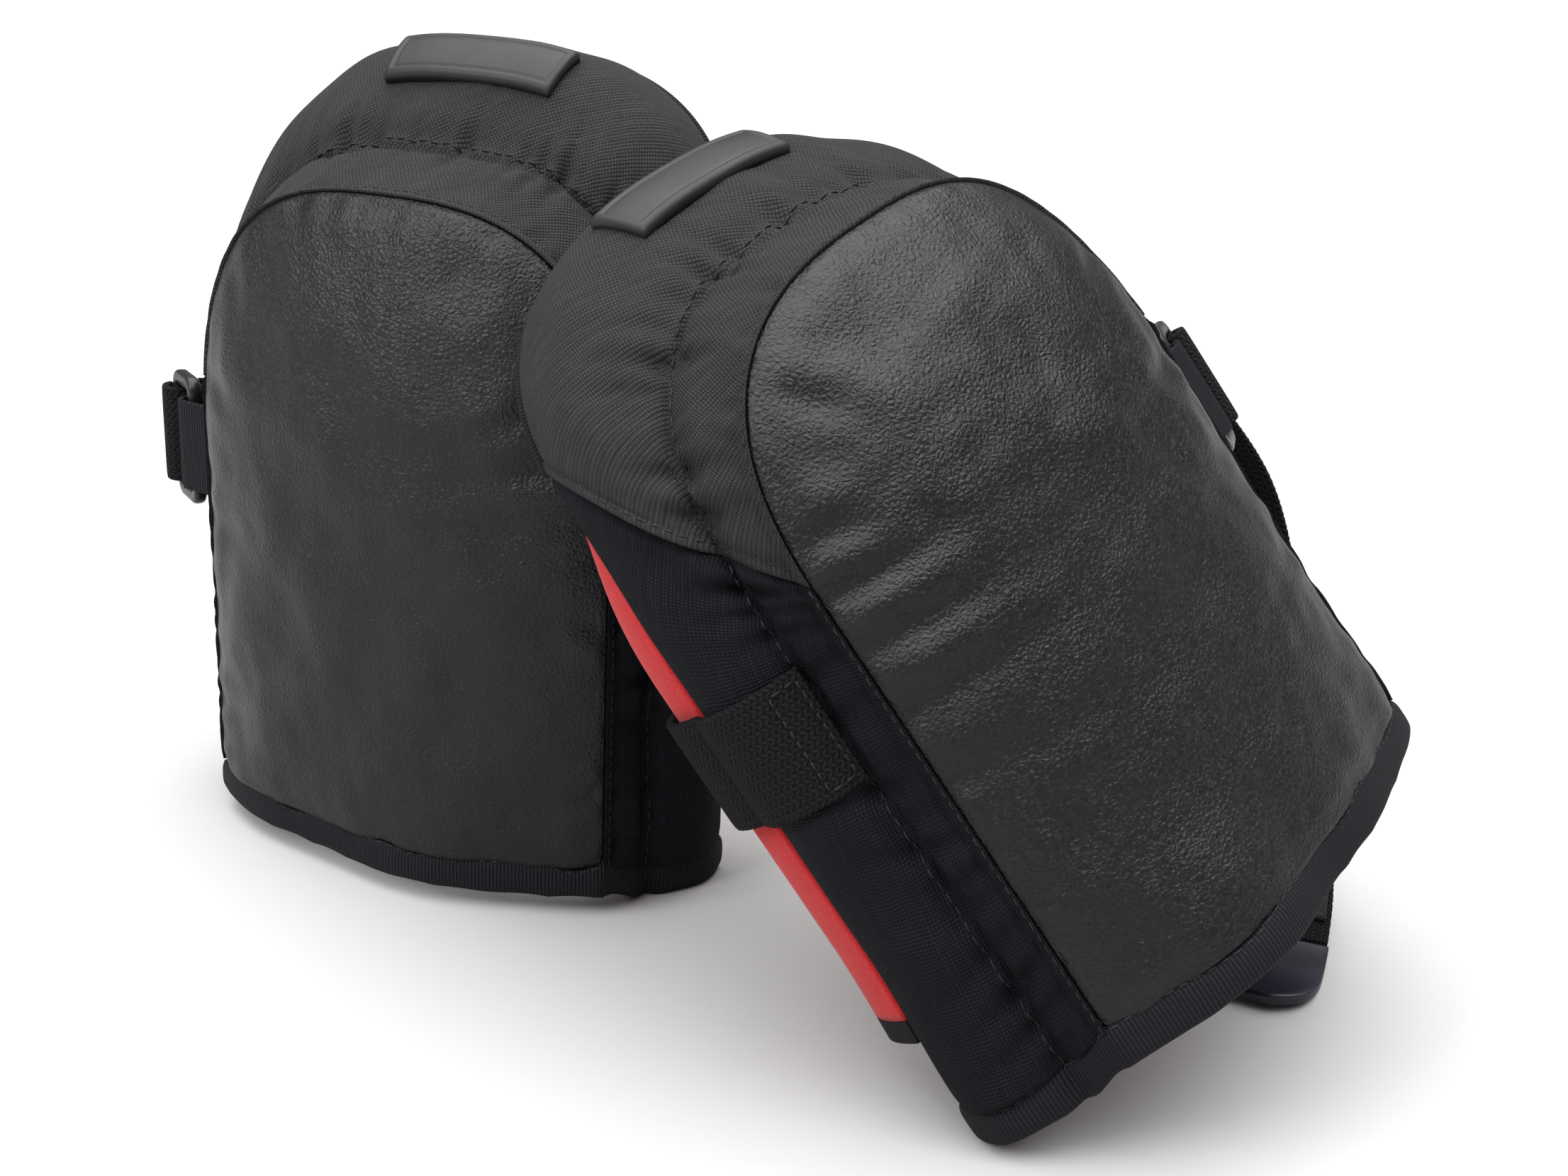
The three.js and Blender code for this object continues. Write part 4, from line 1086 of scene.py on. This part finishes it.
def build_strap_fold(hand, ring_body):
    path = round_rear_bar(np.linspace(FOLD_FROM, FOLD_TO, 60), FOLD_R)
    fold = strap(f"{hand}_fold_web", path, unit(path - REAR_BAR), 0.0)
    place_piece(fold, "knit", "elastic_webbing", ring_body, f"{hand}_strap_fold")


def build_strap_tail(hand, tail_body, loose, knots, knot_out):
    """The free tail, its moulded end and its hook patch; a tail that isn't loose lies on the run."""
    start = round_rear_bar(TAIL_HINGE, FOLD_R) + GAP * RING_BACK
    if loose:
        steps = RUN_STEPS
        path = sample(catmull([start] + LOOSE_POINTS), FINE)
        tangent = tangents(path)
        t = FINE[:, None]
        out = lerp(RING_DIRECTION, TAIL_BEHIND, smooth(0.1, 0.25, t))
        out = lerp(out, TAIL_DOWN, smooth(0.5, 0.8, t))
        out = unit(out - tangent * (out * tangent).sum(-1, keepdims=True))
    else:
        steps = 22
        laid = (knots + knot_out * LAID_LIFT)[LIES_FROM:LIES_TO][::-1]
        path = sample(catmull(np.concatenate([[start], laid])), FINE)
        out = -level_out(path)
    split = round((steps + 1) * TAIL_END_SHARE)
    cut = split / steps
    hook_from = (split - round((steps + 1) * HOOK_SHARE)) / steps
    hook_to = (split - 1) / steps
    keep = FINE <= cut
    tail = strap(f"{hand}_tail_web", path[keep], out[keep])
    place_piece(tail, "knit", "elastic_webbing", tail_body, f"{hand}_strap_tail")
    keep = FINE >= cut + 0.006
    tip_share = (FINE[keep] - cut) / (1 - cut)
    narrow = np.sqrt(1 - 0.9 * np.maximum((tip_share - 0.5) * 2, 0) ** 2.5)
    half = TAIL_END_T / 2
    tip = web(f"{hand}_tail_tip", path[keep], out[keep], STRAP_W + 1, -half, half, narrow=narrow)
    place_piece(tip, "tail", "tail_moulding", tail_body, f"{hand}_tail_end")
    keep = (FINE >= hook_from) & (FINE <= hook_to)
    lift = STRAP_T / 2 + GAP
    hook = web(f"{hand}_hook_pad", path[keep], out[keep], STRAP_W - 3, -lift - PATCH_T, -lift)
    place_piece(hook, "pile", "hook_and_loop", tail_body, f"{hand}_hook_patch")


def build_ring(hand, ring_body):
    """A rounded rectangle in the ring's plane, with a rounded bar section."""
    a, b = RING_PITCH / 2 - RING_CORNER, (RING_SLOT_H + RING_BAR) / 2 - RING_CORNER
    corners = []
    for cx, cy, degrees in ((a, b, 0), (-a, b, 90), (-a, -b, 180), (a, -b, 270)):
        t = np.radians(np.linspace(degrees, degrees + 90, 10))
        corners.append(np.stack([cx + RING_CORNER * np.cos(t), cy + RING_CORNER * np.sin(t)], -1))
    flat = np.concatenate(corners + [corners[0][:1]])
    run = along(flat, 0)
    s = np.linspace(0, run[-1], 121)[:-1]
    x, y = (np.interp(s, run, flat[:, c]) for c in range(2))
    centre = FRONT_BAR + np.multiply.outer(x + RING_PITCH / 2, RING_DIRECTION) + np.multiply.outer(y, UP)
    tangent = unit(np.roll(centre, -1, 0) - np.roll(centre, 1, 0))
    side = unit(np.cross(tangent, RING_BACK))
    w_off, t_off = rounded_profile(20, RING_BAR, RING_T, 3.2)
    rings = centre[:, None] + side[:, None] * w_off[None, :, None] + RING_BACK * t_off[None, :, None]
    ring = tube(f"{hand}_ring_frame", rings, closed=True)
    place_piece(ring, "plastic", "ring_plastic", ring_body, f"{hand}_ring")


def build_tab(hand, pad):
    """The webbing tab: it leaves the wall, goes round the ring's front bar and comes back."""

    def wall(shares, lift):
        v = np.array(shares)
        return at(Station(FACE_HALF_W, STRAP_Z + 0 * v, 1.0, 0.0), v, -lift)

    radius = TAB_BORE + TAB_T / 2
    angles = np.radians(np.linspace(TAB_TURN_FROM, TAB_TURN_TO, 22))
    loop = FRONT_BAR + np.stack([radius * np.cos(angles), radius * np.sin(angles), 0 * angles], -1)
    inner_leg = wall(TAB_IN_AT, GAP + TAB_T / 2 + 0.4)
    outer_leg = wall(TAB_OUT_AT, GAP + TAB_T * 1.5 + 1.0)
    path = sample(catmull(np.concatenate([inner_leg, loop, outer_leg]), 12), np.linspace(0, 1, 160))
    out = unit(np.cross(UP, tangents(path)))
    tab = web(f"{hand}_tab_web", path, out, TAB_W, -TAB_T / 2, TAB_T / 2, TAB_FRAY)
    place_piece(tab, "grosgrain", "elastic_webbing", pad, f"{hand}_ring_tab")


def build_knee(hand, sign, loose):
    """One pad, named left or right; its tail hangs loose or lies on the strap."""
    global hand_now
    hand_now = sign
    pad, ring_body, tail_body = f"{hand}_pad", f"{hand}_ring_body", f"{hand}_tail_body"
    build_threads(hand, pad, build_panels(hand, pad))
    build_foam(hand, pad)
    build_lining(hand, pad)
    build_bottom_edge(hand, pad)
    build_lining_tape(hand, pad)
    build_piping(hand, pad)
    build_badge(hand, pad)
    knots, knot_out = build_strap_run(hand)
    build_strap_end(hand, pad)
    build_strap_fold(hand, ring_body)
    build_strap_tail(hand, tail_body, loose, knots, knot_out)
    build_ring(hand, ring_body)
    build_tab(hand, pad)


build_knee("left", -1, False)
build_knee("right", 1, True)


# ---- floor, light and camera
FLOOR_HALF = 60.0
KEY_AT, KEY_TARGET, KEY_SIZE, KEY_POWER = (-0.72, -1.2, 0.95), (-0.05, 0.0, 0.17), (0.8, 0.6), 18.0
SUN_WAY, SUN_POWER, SUN_SPREAD = (-0.42, 0.1, -1.0), 0.5, 40
CAMERA_AT, LENS = (312.47, -400.37, 264.08), 44.19
CAMERA_LOOKS, CAMERA_UP = (-0.3936, 0.8553, -0.3369), (-0.188, 0.284, 0.94)


def add_object(name, data):
    obj = bpy.data.objects.new(name, data)
    bpy.context.scene.collection.objects.link(obj)
    return obj


def build_floor():
    mesh = bpy.data.meshes.new("floor")
    corners = [(x * FLOOR_HALF, y * FLOOR_HALF, 0) for x, y in ((-1, -1), (1, -1), (1, 1), (-1, 1))]
    mesh.from_pydata(corners, [], [(0, 1, 2, 3)])
    m = new_nodes("floor")
    shade = m.mix(m.noise(m.place(), 3.0), rgb(169, 169, 169), rgb(173, 173, 173))
    mesh.materials.append(m.finish(Base_Color=shade, Roughness=0.9, Specular_IOR_Level=0.1))
    add_object("floor", mesh)


def build_world():
    """A studio: bright overhead, dark at the sides, and a pale haze at the horizon."""
    world = bpy.data.worlds.new("studio")
    m = Nodes(world)
    _, _, up = m.xyz(m.add("ShaderNodeTexCoord", (), "Generated"))
    light = m.ramp(up, 0.5, 0.98, 0.02, 6.0, "SMOOTHSTEP")
    haze = m.ramp(up, 0.1, 0.2, 0.9, 0.0, "SMOOTHSTEP")
    back = m.tree.nodes["Background"]
    m.put(back.inputs[0], (1, 1, 1, 1))
    m.put(back.inputs[1], m.plus(light, haze))
    bpy.context.scene.world = world


def build_lights():
    sun = bpy.data.lights.new("sun", "SUN")
    sun.energy = SUN_POWER
    sun.angle = math.radians(SUN_SPREAD)
    add_object("sun", sun).rotation_euler = Vector(SUN_WAY).to_track_quat("-Z", "Y").to_euler()
    key = bpy.data.lights.new("key", "AREA")
    key.shape = "RECTANGLE"
    key.size, key.size_y = KEY_SIZE
    key.energy = KEY_POWER
    obj = add_object("key", key)
    obj.location = KEY_AT
    obj.rotation_euler = (Vector(KEY_TARGET) - Vector(KEY_AT)).to_track_quat("-Z", "Y").to_euler()
    bpy.context.scene.view_settings.view_transform = "Standard"


def build_camera():
    data = bpy.data.cameras.new("camera")
    data.sensor_width = 36.0
    data.lens = LENS
    data.clip_start = 0.01
    data.clip_end = 50.0
    forward = Vector(CAMERA_LOOKS).normalized()
    right = forward.cross(Vector(CAMERA_UP)).normalized()
    rotation = Matrix((right, right.cross(forward), -forward)).transposed()
    where = Vector(ORIGIN) + Vector(CAMERA_AT) * MM
    camera = add_object("camera", data)
    camera.matrix_world = Matrix.Translation(where) @ rotation.to_4x4()
    bpy.context.scene.camera = camera


build_floor()
build_world()
build_lights()
build_camera()
